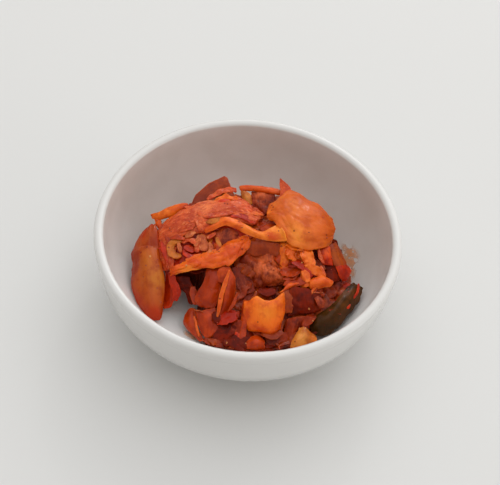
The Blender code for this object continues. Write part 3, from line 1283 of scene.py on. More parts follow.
# Inner leaves folded over one another, open towards the front, with the thick lip of the fold below.
BUNDLE = PieceGroup((
    Sheet("bundle_floor", LEAF_DEEP_RED, (
        ((-32.5, 3, 26.5), (-31, -1, 25.5), (-30, -5.5, 24.5), (-28.5, -8.5, 23.5)),
        ((-24.5, 4, 29), (-23.5, 1.5, 27.5), (-23, -2, 26.5), (-22.5, -7, 25)),
        ((-18, 6, 30), (-17, 4.5, 28), (-16.5, 0.5, 27), (-16.5, -5, 26)),
        ((-12.5, 9, 31), (-11, 6.5, 29), (-10.5, 3, 28), (-10.5, -3.5, 27.5)),
        ((-6, 9, 31), (-5, 7, 30), (-4.5, 4, 29), (-5.5, -0.5, 28.5)),
        ((-1, 8, 31), (0, 6, 30), (0, 4.5, 29.5), (-0.5, 2.5, 29)),
    ), thick=0.9, crumple=0.9, crumple_cell=3.0, relief=0.2, stain=0.5),
    Sheet("bundle_wrap", LEAF_SALMON, (
        ((-35.5, 10, 25.5), (-36, 7.5, 25), (-36, 4.5, 24.5), (-36, 2, 23.5)),
        ((-32.5, 12, 28), (-33, 8, 28.5), (-33.5, 4, 27.5), (-33, -0.5, 25)),
        ((-29, 14.5, 30), (-29, 10, 31), (-28.5, 5.5, 30), (-28.5, 1.5, 28.5)),
        ((-24.5, 17, 31.5), (-24, 13, 32.5), (-23.5, 8, 32), (-23, 4, 30)),
        ((-19.5, 20, 32), (-19, 15.5, 33), (-18, 10.5, 33), (-17, 5.5, 31)),
        ((-14.5, 20.5, 32.5), (-13.5, 17, 33.5), (-12.5, 13, 33.5), (-11, 9.5, 32)),
        ((-9, 22.5, 32.5), (-8, 18.5, 33.5), (-6.5, 15.5, 33.5), (-5.5, 11.5, 32)),
        ((-5, 24, 32), (-3, 20, 32.5), (-1.5, 16, 32), (0, 11.5, 30.5)),
        ((0.5, 20.5, 31), (1.5, 18.5, 31), (2.5, 16, 30.5), (2.5, 12.5, 30)),
        ((4.5, 18.5, 30), (5, 17.5, 30), (5, 17, 30), (4.5, 16.5, 30)),
    ), thick=1.6, edge=0.8, crumple=0.45, crumple_cell=3.0, relief=0.3, relief_pitch=0.9, rim=0.2,
        tints=(Tint(Mark.PALE, 0.45, 0.3, 5, 0.5), Tint(Mark.BRIGHT, 0.8, 0.5, 3, 0.8))),
    Sheet("bundle_left_side", LEAF_SALMON, (
        ((-36, 6.5, 25), (-33, 6, 27.5), (-29.5, 5.5, 29), (-25.5, 5.5, 30)),
        ((-36, 3, 24), (-33, 2, 26), (-30, 1.5, 28), (-26.5, 2, 28.5)),
        ((-35, -1, 23.5), (-32.5, -2, 25), (-30, -2, 26.5), (-28, -2, 27.5)),
        ((-34, -5, 22.5), (-31.5, -6, 24), (-30, -6, 25), (-28, -6, 26)),
        ((-32, -9, 21.5), (-30.5, -9.5, 22.5), (-29.5, -9.5, 23.5), (-28, -9.5, 24)),
    ), thick=1.3, edge=0.8, crumple=0.5, crumple_cell=2.6, relief=0.25, rim=0.2,
        # the deep patch is painted shade on the bundle's shaded left side
        tints=(Tint(Mark.DEEP, 0.8, 0.5, 5, 0.9),)),
    Sheet("inner_brown", LEAF_BROWN, (
        ((-14, 7, 30), (-10.5, 8, 31), (-6.5, 8, 31), (-3.5, 6.5, 30.5)),
        ((-13.5, 4, 29.5), (-10.5, 4.5, 30), (-7, 5, 30), (-4, 5, 30)),
        ((-10.5, 0.5, 28.5), (-8.5, 1, 29), (-6.5, 2, 29), (-4.5, 3, 29.5)),
    ), thick=0.9, crumple=0.5, pale=0.4),
    Sheet("inner_cream", LEAF_CREAM, (
        ((-20, 4.5, 29.5), (-18.5, 5, 30), (-16.5, 5, 29.5)), ((-20, 1, 29), (-18, 1, 29), (-15.5, 1.5, 29)),
        ((-18.5, -2, 28), (-16.5, -2.5, 28), (-14.5, -1.5, 28)),
    ), thick=0.9, crumple=0.4, stain=0.3),
    Sheet("inner_shard", LEAF_ORANGE_RED, (
        ((-13, 1.5, 29), (-12, 2, 29.5), (-10.5, 1, 29.5)),
        ((-13, -1.5, 28.5), (-11.5, -1.5, 29), (-9.5, -1, 28.5)),
        ((-12.5, -4, 28), (-10.5, -4.5, 28), (-8.5, -4, 28)),
    ), thick=0.8, pale=0.5, jag=0.8),
    Sheet("ribbon", LEAF_VIVID, (
        ((-18, 6.5, 31), (-17.5, 5.5, 31), (-17, 5, 30.5)),
        ((-15, 8, 32.5), (-14.5, 7, 32.5), (-14, 6, 31.5)),
        ((-12.5, 10.5, 33.5), (-11.5, 8.5, 33.5), (-11, 7.5, 32.5)),
        ((-9.5, 11, 34.5), (-9, 9, 34.5), (-9, 8, 33)), ((-5.5, 10.5, 34), (-5.5, 8, 34.5), (-5.5, 7, 33)),
        ((-1.5, 8.5, 34), (-1.5, 6.5, 34.5), (-2, 5, 33)), ((2, 7, 33.5), (2, 5, 34), (2, 4, 32.5)),
        ((5.5, 6.5, 33), (5.5, 4.5, 33.5), (5.5, 3.5, 32)), ((8.5, 8.5, 33.5), (9, 5.5, 33.5), (9.5, 3, 32)),
        ((11, 11, 33), (12.5, 7, 34), (13, 3.5, 32)), ((12.5, 9.5, 34), (14, 6, 35), (15.5, 3.5, 32.5)),
    ), thick=1.1, edge=0.7, crumple=0.15, jag=0.25, rim=0.5,
        tints=(Tint(Mark.DEEP, 0.03, 0.5, 4, 0.8), Tint(Mark.PALE, 0.55, 0.4, 5, 0.6),
               Tint(Mark.PALE, 0.8, 0.4, 5, 0.8), Tint(Mark.BRIGHT, 0.97, 0.4, 6, 0.9))),
    Sheet("lip", RIB_VIVID, (
        ((-29, -10, 24.5), (-29, -11.5, 24.5), (-29, -12.5, 23.5)),
        ((-26.5, -8.5, 26), (-26, -11, 26.5), (-26, -12, 25)),
        ((-22, -6.5, 27), (-21.5, -9.5, 28), (-21.5, -11.5, 26.5)),
        ((-17.5, -4, 28), (-17, -8, 28.5), (-16.5, -10, 27)),
        ((-13, -1.5, 28.5), (-12, -5.5, 29.5), (-11.5, -9.5, 27.5)),
        ((-8.5, 2, 29), (-7.5, -3, 30), (-6.5, -8, 28)), ((-4, 5, 29.5), (-3, 0.5, 30), (-3, -4, 28.5)),
        ((-0.5, 7.5, 29.5), (0.5, 4.5, 30.5), (1, 1.5, 29)),
    ), thick=1.5, edge=0.6, crumple=0.9, crumple_cell=3.2, relief=0.28, stain=0.15, rim=0.6, jag=1.1,
        tints=(Tint(Mark.DEEP, 0.05, 0.3, 5, 0.6), Tint(Mark.BRIGHT, 0.25, 0.8, 5, 0.8),
               Tint(Mark.PALE, 0.6, 0.1, 3, 0.6), Tint(Mark.DEEP, 0.5, 0.6, 5, 0.5),
               Tint(Mark.DEEP, 0.85, 0.7, 5, 0.6))),
))

# Leaves and hollow stems that stand behind the bundle.
BACK = PieceGroup((
    Sheet("back_left_leaf", LEAF_RUSSET, (
        ((-24.5, 22.5, 26), (-23, 21.5, 26.5), (-21.5, 21, 27)),
        ((-23, 26.5, 27.5), (-21, 25.5, 27.5), (-18.5, 24, 27)),
        ((-20, 29.5, 29), (-18, 28, 28.5), (-15.5, 26, 27.5)),
        ((-17, 32.5, 30), (-14.5, 30.5, 29.5), (-12.5, 28, 28)),
        ((-13, 35, 31), (-11, 32.5, 30.5), (-9, 29, 29)), ((-11, 35, 31), (-10, 33, 30.5), (-8.5, 30, 29.5)),
    ), thick=1.0, crumple=0.25, rim=0.8, tints=(Tint(Mark.DEEP, 0.3, 0.6, 4, 0.6),)),
    Sheet("spike", LEAF_SALMON, (
        ((11, 26, 31), (13, 27, 32), (16, 29, 32.5)), ((11, 30, 31.5), (12.5, 30.5, 32), (15, 31.5, 32.5)),
        ((10.5, 32.5, 32.5), (11.5, 33, 32.5), (13, 33.5, 33)),
        ((10.5, 35.5, 33), (10.5, 35.5, 33), (11, 35, 33)),
    ), thick=1.0, crumple=0.2),
    Sheet("back_rim", RIB_VIVID, (
        ((-5.5, 33, 28.5), (-5.5, 31.5, 28.5), (-5, 30.5, 28)),
        ((-1.5, 33.5, 29), (-1, 32, 29.5), (-1, 31, 28.5)),
        ((3.5, 33, 29.5), (3.5, 31.5, 29.5), (4, 31, 28.5)),
        ((7.5, 33, 29.5), (8, 31, 29.5), (7.5, 30.5, 28.5)),
        ((11.5, 32, 29.5), (11.5, 30.5, 29.5), (11, 30, 28.5)),
    ), thick=1.2, edge=0.8, stain=0.5, crumple=0.2),
    Sheet("pale_stub", RIB_YELLOW, (
        ((-5, 30.5, 28), (-4, 30.5, 28.5), (-2.5, 30.5, 28.5)),
        ((-4.5, 28.5, 28), (-3, 28.5, 28.5), (-0.5, 29, 28.5)),
        ((-3.5, 26.5, 27.5), (-1.5, 26, 28), (0, 26.5, 27.5)),
        ((-1.5, 25, 26.5), (-0.5, 24.5, 26.5), (0.5, 25, 26.5)),
    ), thick=1.6, edge=1.0, pale=0.3, crumple=0.15, corner=1.5),
    Sheet("pink_inner", LEAF_BROWN, (
        ((-0.5, 31.5, 28), (3.5, 31.5, 28.5), (9, 31.5, 28)),
        ((-0.5, 28.5, 27.5), (4, 28, 28), (9.5, 28.5, 27.5)), ((0.5, 25, 27), (4.5, 24.5, 27), (9, 25, 27)),
        ((2.5, 21, 26), (6, 21, 26), (8.5, 22, 26)),
    # the pale patch near the back is a painted pinkish highlight
    ), thick=1.0, crumple=0.8, crumple_cell=2.4, tints=(Tint(Mark.PALE, 0.2, 0.4, 3, 0.7),)),
    Sheet("cavity", LEAF_BROWN, (
        ((-1, 17.5, 28.5), (3, 18, 27.5), (7.5, 20.5, 27.5)),
        ((0, 14, 28.5), (4, 14.5, 27.5), (9, 16.5, 27.5)), ((0.5, 9.5, 28.5), (5, 10, 28), (10.5, 12, 28.5)),
    # the pale patch is a painted pink highlight
    ), thick=0.9, crumple=0.7, crumple_cell=2.2, tints=(Tint(Mark.PALE, 0.4, 0.7, 2.5, 0.8),)),
))

# The amber slice at the right of the top.
SLICE = PieceGroup((
    Sheet("slice", RIB_AMBER, (
        ((7.5, 22, 31.5), (6.5, 18.5, 32), (6.5, 16, 32), (7.5, 14, 31.5)),
        ((9.5, 23, 32.5), (9, 19, 33), (9.5, 15.5, 33.5), (10, 12, 33)),
        ((11.5, 26, 33), (12, 19.5, 34), (12, 14.5, 34.5), (12.5, 7, 33.5)),
        ((14.5, 29.5, 33), (15, 19.5, 34.5), (15.5, 11.5, 35), (16, 2.5, 32)),
        ((18, 28, 33.5), (18.5, 18.5, 35), (19, 9.5, 35), (19.5, 1, 32)),
        ((22.5, 24.5, 33.5), (23, 17, 35), (23, 9, 34), (23, 1, 31)),
        ((26, 24, 32.5), (27, 17, 33.5), (27, 9.5, 33), (26.5, 2, 30.5)),
        ((30, 20.5, 31.5), (31, 15.5, 31.5), (31, 10.5, 31), (30.5, 4.5, 29.5)),
        ((32.5, 19, 30), (34, 16, 29.5), (34, 12.5, 29), (33, 7.5, 28.5)),
    ), thick=2.0, edge=0.9, crumple=0.5, crumple_cell=7.0, jag=0.6, jag_cell=1.8, corner=1.2, rim=0.6,
        tints=(Tint(Mark.PALE, 0.5, 0.8, 5, 1), Tint(Mark.PALE, 0.45, 0.35, 3.5, 0.5),
               Tint(Mark.BRIGHT, 0.02, 0.5, 4, 0.9), Tint(Mark.PALE, 0.2, 0.2, 3, 0.5),
               Tint(Mark.DEEP, 0.3, 0.25, 2.8, 0.6), Tint(Mark.DEEP, 0.95, 0.6, 4, 0.9),
               Tint(Mark.DEEP, 0.65, 0.1, 3.5, 0.5))),
))

# Ridges and frills that lie along the top of the folded leaves.
BUNDLE_FOLDS = PieceGroup((
    strip("frill_upper", LEAF_SALMON, ((-18, 21, 32), (-15.5, 23.5, 32.5), (-12.5, 26, 32.5),
          (-9.5, 27, 32), (-6.5, 27.5, 32)), (0.6, 1.1, 1.3, 1.4, 0.8), ruffle=0.45, ripple=4.5, stain=0.1,
          rim=0.6, crumple=0.6),
    strip("frill_lower", LEAF_VIVID, ((-16, 19, 33), (-13, 21, 33.5), (-10.5, 22.5, 33.5), (-7.5, 22, 33.5),
          (-5, 22, 32.5)), (0.5, 1, 1.2, 1.1, 0.6), ruffle=0.5, ripple=4.0, crumple=0.6),
    strip("frill_red", LEAF_DEEP_RED, ((-14, 18.5, 33), (-10.5, 20, 33.5), (-6.5, 20.5, 33)),
          (0.8, 1.2, 0.7), ruffle=0.3),
    strip("ridge_bright", LEAF_VIVID, ((-10, 13.5, 34), (-6, 15, 33.5), (-1, 16.5, 32.5), (2.5, 17, 31.5),
          (5, 17, 31)), (0.6, 0.9, 1, 0.9, 0.5), stain=0.35),
    strip("ridge_shadow", LEAF_DEEP_RED, ((-8, 12.5, 33.5), (-4, 13.5, 33), (0, 13.5, 31.5),
          (2.5, 13.5, 30.5)), (0.7, 1.3, 1.8, 1.2)),
    strip("ridge_top", LEAF_SALMON, ((-26.5, 17, 31.5), (-22, 13.5, 33), (-16.5, 11.5, 34),
          (-11, 12.5, 34.5), (-7, 14.5, 34)), (0.7, 1.3, 1.5, 1.3, 0.7), thick=0.8, edge=0.25, relief=0.3,
          crumple=0.5, rim=0.1),
    strip("ridge_mid", LEAF_SALMON, ((-34.5, 8, 27), (-30.5, 8.5, 29.5), (-26, 9, 32), (-21, 9.5, 33)),
          (1, 1.7, 1.8, 1), thick=0.8, edge=0.25, relief=0.3, crumple=0.5, rim=0.1),
    strip("ridge_low", LEAF_SALMON, ((-35.5, 4.5, 25.5), (-32, 5.5, 28), (-27, 5.5, 30.5), (-22, 6, 32)),
          (1, 1.6, 1.7, 1), relief=0.3, crumple=0.5, stain=0.3),
    strip("ridge_side", LEAF_SALMON, ((-34.5, 1, 24.5), (-32, 1.5, 27), (-28.5, 2.5, 29), (-25.5, 3, 30)),
          (0.9, 1.5, 1.5, 0.8), relief=0.3, crumple=0.5, stain=0.5),
    strip("fold_pink", LEAF_SALMON, ((-21.5, 11, 33), (-19.5, 8, 33), (-18.5, 5, 31.5)), (1.2, 1.8, 1.5),
          thick=0.8, edge=0.2, relief=0.3, rim=0.0, pale=0.5),
    strip("fold_pink_2", LEAF_SALMON, ((-25.5, 13.5, 32), (-23.5, 10, 32.5), (-21.5, 6.5, 32)),
          (0.8, 1.3, 1), thick=0.8, edge=0.2, relief=0.25, stain=0.3, rim=0.0),
    strip("fold_olive", RIB_YELLOW, ((-17.5, 8.5, 33), (-14.5, 10, 33.5), (-10.5, 11.5, 34)),
          (0.9, 1.8, 1.1), thick=0.8, edge=0.2, relief=0.15, stain=0.15, rim=0.0),
    strip("fold_red", LEAF_DEEP_RED, ((-27, 17, 31.5), (-24.5, 16, 32), (-22, 12.5, 33)), (0.8, 1.4, 0.7),
          stain=0.3),
    strip("side_orange", LEAF_ORANGE_RED, ((-32.5, 4, 28.5), (-30.5, 1, 28), (-30, -2, 27)), (0.8, 1.5, 1),
          pale=0.3),
    strip("side_red", LEAF_DEEP_RED, ((-33.5, 2, 26.5), (-31.5, -2.5, 26), (-29.5, -7, 25)), (1, 2.2, 1.3)),
    strip("side_specks", LEAF_SALMON, ((-35.5, 2, 24.5), (-34.5, -1.5, 24), (-34, -4.5, 24)), (0.6, 1, 0.6),
          relief=0.4),
))

# Curled ends of the folded leaves, seen in the open front of the bundle.
BUNDLE_SHREDS = PieceGroup((
    strip("curl_ochre", RIB_YELLOW, ((-26, 1, 29.5), (-28.5, 0.5, 29), (-30, -1, 28), (-29.5, -3.5, 27.5),
          (-27.5, -5, 27), (-25.5, -4.5, 27)), (0.9, 1.5, 1.6, 1.7, 1.6, 0.9), thick=1.0, edge=0.5, rim=0.2,
          jag=0.5, corner=0.4, crumple=0.4, stain=0.3),
    strip("curl_ochre_end", LEAF_CREAM, ((-27, -0.5, 29.5), (-26.5, -2.5, 29), (-25.5, -4, 28)),
          (0.6, 0.9, 0.6)),
    strip("curl_red_top", LEAF_SALMON, ((-25.5, 0, 29), (-24, 1.5, 29.5), (-21.5, 1, 30), (-19.5, -0.5, 29),
          (-19.5, -3, 28)), (0.7, 1.2, 1.3, 1.3, 0.8), stain=0.3),
    strip("curl_red_low", LEAF_DEEP_RED, ((-25, -2.5, 28), (-23.5, -4, 27.5), (-21, -5, 27.5),
          (-18, -4, 27.5)), (0.7, 1.2, 1.3, 0.8)),
    strip("curl_red_mid", LEAF_DEEP_RED, ((-25, -1.5, 28.5), (-23, -1.5, 28.5), (-20.5, -2.5, 28)),
          (0.8, 1.7, 1.2), stain=0.2, pale=0.4),
    strip("shred_pale_1", LEAF_CREAM, ((-25, 2.5, 30.5), (-23, 3, 31), (-21, 4.5, 31)), (0.7, 1.3, 0.7),
          pale=0.6),
    strip("shred_pale_2", LEAF_CREAM, ((-20.5, -1, 29), (-19.5, 1.5, 30), (-19.5, 4, 30.5)),
          (0.6, 1.1, 0.7)),
    strip("shred_hook", LEAF_CREAM, ((-17.5, -5, 28), (-16, -4.5, 28.5), (-14.5, -3, 29), (-14, -0.5, 29.5),
          (-15, 1, 30)), (0.7, 1.1, 1, 0.9, 0.5), pale=0.7),
    strip("shred_olive", RIB_YELLOW, ((-12.5, 3.5, 30.5), (-11.5, 2, 30), (-10.5, -0.5, 29.5)),
          (0.5, 0.9, 0.5), stain=0.2),
    strip("shred_olive_2", RIB_YELLOW, ((-9.5, -3, 28.5), (-7.5, -0.5, 29.5), (-4.5, 2.5, 30)),
          (1, 1.8, 0.9), stain=0.3),
    strip("shred_red_r", LEAF_DEEP_RED, ((-8, -1.5, 29), (-5, 1, 30), (-2, 3, 30)), (0.8, 1.4, 0.8),
          stain=0.4),
    strip("shred_red_c", LEAF_SALMON, ((-16.5, 3, 30), (-15, 4, 30.5), (-13, 5.5, 31)), (0.6, 1, 0.7),
          stain=0.5),
    strip("shred_red_l", LEAF_ORANGE_RED, ((-30.5, 2, 29), (-28, 2, 30), (-25, 1.5, 30)), (0.7, 1.3, 0.8)),
))

# Frills, a curled ring and small ends in the ruffled leaf at the right.
RUFFLES = PieceGroup((
    strip("ruffle_ring", LEAF_RUSSET, ((19.5, 0.5, 30.5), (20.5, 1.5, 31), (22, 1, 30.5), (22, -1, 29.5),
          (21, -2, 29), (19.5, -1.5, 29.5), (19.5, 0, 30)), (0.5, 0.6, 0.6, 0.6, 0.6, 0.6, 0.5), lean=40,
          thick=0.8, edge=0.4, jag=0.1, crumple=0.05, rim=0.9, corner=0.3),
    strip("ruffle_a", LEAF_VIVID, ((15.5, 1.5, 30.5), (17.5, -0.5, 29.5), (19.5, -2.5, 28.5)),
          (1.2, 2.4, 1.6), ruffle=0.7, ripple=3.2, stain=0.3, corner=0.3, jag=0.9),
    strip("ruffle_b", LEAF_VIVID, ((22, 2, 30.5), (23.5, 0, 30), (25, -3, 29), (25.5, -5.5, 27.5)),
          (1.4, 2.6, 2.6, 1.2), ruffle=0.8, ripple=3.2, corner=0.3, jag=0.9, pale=0.3),
    strip("ruffle_d", RIB_VIVID, ((15, 2.5, 31), (18.5, 2, 31), (22, 1.5, 31)), (0.8, 1.3, 0.8), pale=0.5,
          corner=0.3, ruffle=0.4),
    strip("ruffle_e", LEAF_VIVID, ((23.5, -4.5, 28.5), (26.5, -5.5, 28), (29, -6.5, 27), (31.5, -8, 26)),
          (0.8, 1.9, 1.9, 0.8), lean=25, stain=0.2, pale=0.3, ruffle=0.5, corner=0.3),
    strip("ruffle_f", LEAF_ORANGE_RED, ((14, -5.5, 25.5), (18, -7, 26), (22, -6, 27)), (1.8, 2.6, 1.3),
          ruffle=0.5, corner=0.3, jag=0.9),
    strip("ruffle_h", LEAF_ORANGE_RED, ((15, -9, 24.5), (18.5, -9, 25.5), (21, -7, 26.5)), (1, 1.6, 0.7),
          ruffle=0.3, stain=0.5, corner=0.3),
    strip("ruffle_g", LEAF_VIVID, ((22.5, -6.5, 28), (24, -8.5, 27.5), (25, -11, 26.5)), (0.8, 1.7, 1),
          pale=0.5, corner=0.3),
    strip("red_fold", LEAF_DEEP_RED, ((18, -3, 28.5), (21.5, -4, 28.5), (24, -5.5, 28), (27, -8, 26.5)),
          (1.3, 2.1, 2.2, 1.4), stain=0.5, corner=0.3),
    strip("pit_edge", LEAF_MAROON, ((16.5, -5, 27.5), (18.5, -5, 28), (20.5, -5, 28)), (0.8, 1, 0.5),
          corner=0.3),
    strip("gap_leaf_brown", LEAF_RUSSET, ((27, 0, 26), (28.5, -1.5, 25), (31, -3.5, 24.5)), (1.5, 2.8, 1.6),
          stain=0.5, corner=0.3),
    strip("edge_pink", LEAF_SALMON, ((28, 4, 29.5), (29, 1, 28.5), (31, -2, 27)), (0.5, 0.8, 0.4),
          stain=0.4),
    strip("edge_pink_2", LEAF_SALMON, ((29.5, -2.5, 26.5), (30.5, -4.5, 26), (32, -6, 25)),
          (0.4, 0.9, 0.4)),
    strip("fibre_1", LEAF_ORANGE_RED, ((25.5, -13.5, 24.5), (27.5, -14, 24.5), (29, -12.5, 25)),
          (0.4, 0.6, 0.3)),
    strip("fibre_2", LEAF_VIVID, ((26.5, -15.5, 24.5), (27, -13.5, 25), (28.5, -12.5, 25.5)),
          (0.4, 0.6, 0.3), stain=0.4),
    strip("fibre_3", LEAF_CREAM, ((27, -14.5, 24.5), (29, -14.5, 24.5), (31, -14, 24.5)), (0.2, 0.3, 0.15),
          stain=0.3),
    strip("shoulder", LEAF_ORANGE_RED, ((15.5, -11.5, 24.5), (19, -11.5, 25), (22, -10.5, 25.5),
          (24.5, -10.5, 26)), (0.9, 1.8, 1.8, 0.9), stain=0.3, ruffle=0.3, corner=0.3),
    strip("block_side", LEAF_RUSSET, ((16.5, -15, 25.5), (18, -18.5, 23.5), (18.5, -22.5, 20.5)),
          (1.2, 2.1, 1.3), pale=0.4, stain=0.2),
))

# Narrow cuts and edges between the hanging leaves.
FRONT_CUTS = PieceGroup((
    strip("narrow_rim", LEAF_VIVID, ((-6, -10.5, 28.5), (-7, -15, 27), (-8, -19, 24.5), (-8.5, -23.5, 21.5),
          (-9, -26.5, 17)), (0.3, 0.8, 0.9, 0.8, 0.3), jag=0.2, stain=0.55),
    strip("narrow_right", LEAF_ORANGE_RED, ((-2, -17, 23.5), (-2.5, -19.5, 22.5), (-3.5, -22, 21),
          (-5, -24, 19.5)), (0.3, 0.7, 0.7, 0.3), pale=0.4),
    strip("front_red", LEAF_DEEP_RED, ((-9, -27.5, 16.5), (-6, -26, 18), (-1.5, -24.5, 19)), (1.4, 3, 2.2),
          stain=0.7, corner=0.3, jag=1.0),
    strip("front_purple", LEAF_BROWN, ((-2.5, -34, 14), (-1.5, -30.5, 16), (-0.5, -26.5, 18)),
          (1.2, 2.2, 1.6), stain=0.3, corner=0.3),
    strip("front_maroon", LEAF_MAROON, ((-8, -34, 13), (-6, -30.5, 15), (-3.5, -27, 17)), (2.4, 3.8, 3),
          corner=0.3, jag=1.0),
    strip("front_low", LEAF_BROWN, ((-13, -34, 13), (-9, -34.5, 13), (-5, -35.5, 13)), (1.2, 2, 1.4),
          stain=0.3),
    strip("front_low_2", LEAF_RUSSET, ((-1.5, -33, 15), (0.5, -34, 14.5), (2, -35.5, 14)), (1, 1.8, 1.2)),
    strip("low_left_edge", LEAF_VIVID, ((-18, -25, 15.5), (-17, -27.5, 15), (-16, -30, 14),
          (-15, -32.5, 12.5)), (0.3, 0.5, 0.5, 0.3), stain=0.6),
    strip("notch_edge", LEAF_CREAM, ((-19, -21.5, 15.5), (-17, -23, 17), (-14.5, -24.5, 18)),
          (0.2, 0.4, 0.2), stain=0.4),
    strip("left_shadow", LEAF_ORANGE_RED, ((-20, -13.5, 19.5), (-19, -16.5, 18), (-18, -20, 16.5)),
          (0.9, 1.7, 1), stain=0.6),
    strip("lip_drop", LEAF_DEEP_RED, ((-29, -11, 24), (-27.5, -13.5, 21.5), (-26, -16.5, 18.5),
          (-26, -19, 16)), (0.8, 1.5, 1.8, 0.8), stain=0.4, corner=0.3, jag=0.9),
    strip("lip_pink", LEAF_ORANGE_RED, ((-7.5, -9, 28), (-8.5, -11, 27), (-9, -14.5, 24.5)),
          (1.2, 2.2, 1.2), pale=0.4, corner=0.3, jag=0.9),
    strip("lip_inner", RIB_VIVID, ((-23.5, -7, 27.5), (-17.5, -5, 28), (-12, -3, 29), (-7, 0.5, 29.5)),
          (0.8, 1.7, 1.9, 1), thick=0.8, edge=0.4, stain=0.5, jag=0.9, corner=0.3),
    strip("wall_brown", LEAF_BROWN, ((-3, -5, 24.5), (-0.5, -9.5, 22), (2.5, -15, 20)), (2.4, 3.6, 3),
          stain=0.5, corner=0.3, jag=1.0),
    strip("wall_red", LEAF_MAROON, ((6, -14, 22), (9.5, -15, 22.5), (13, -14.5, 23)), (1.4, 2.2, 1.4)),
    strip("under_block", LEAF_RUSSET, ((9, -30.5, 16.5), (13, -31, 16.5), (17, -29, 17)), (1.2, 2.2, 1.6),
          stain=0.3),
    strip("under_roll", LEAF_MAROON, ((9.5, -34.5, 13.5), (12.5, -35, 13.5), (16, -34, 14)),
          (1.4, 2.2, 1.4)),
    strip("low_right", LEAF_RUSSET, ((18, -33, 14), (21, -31.5, 15), (23.5, -29, 16.5)), (1.2, 2.4, 1.4),
          stain=0.2),
    strip("low_right_2", LEAF_BROWN, ((24.5, -26.5, 17.5), (27, -23.5, 19), (29, -21.5, 19.5)), (1, 2, 1)),
    # a thin strip painted pale as a highlight
    strip("pink_smear", LEAF_BROWN, ((34, -19.5, 21), (36, -20, 21), (39, -20, 19.5)), (0.3, 0.8, 0.4),
          pale=0.5),
    strip("maroon_blob", LEAF_BROWN, ((28.5, -16, 24), (30.5, -18, 23.5), (31.5, -20, 22.5)), (1, 1.8, 1),
          pale=0.6, corner=0.3),
))

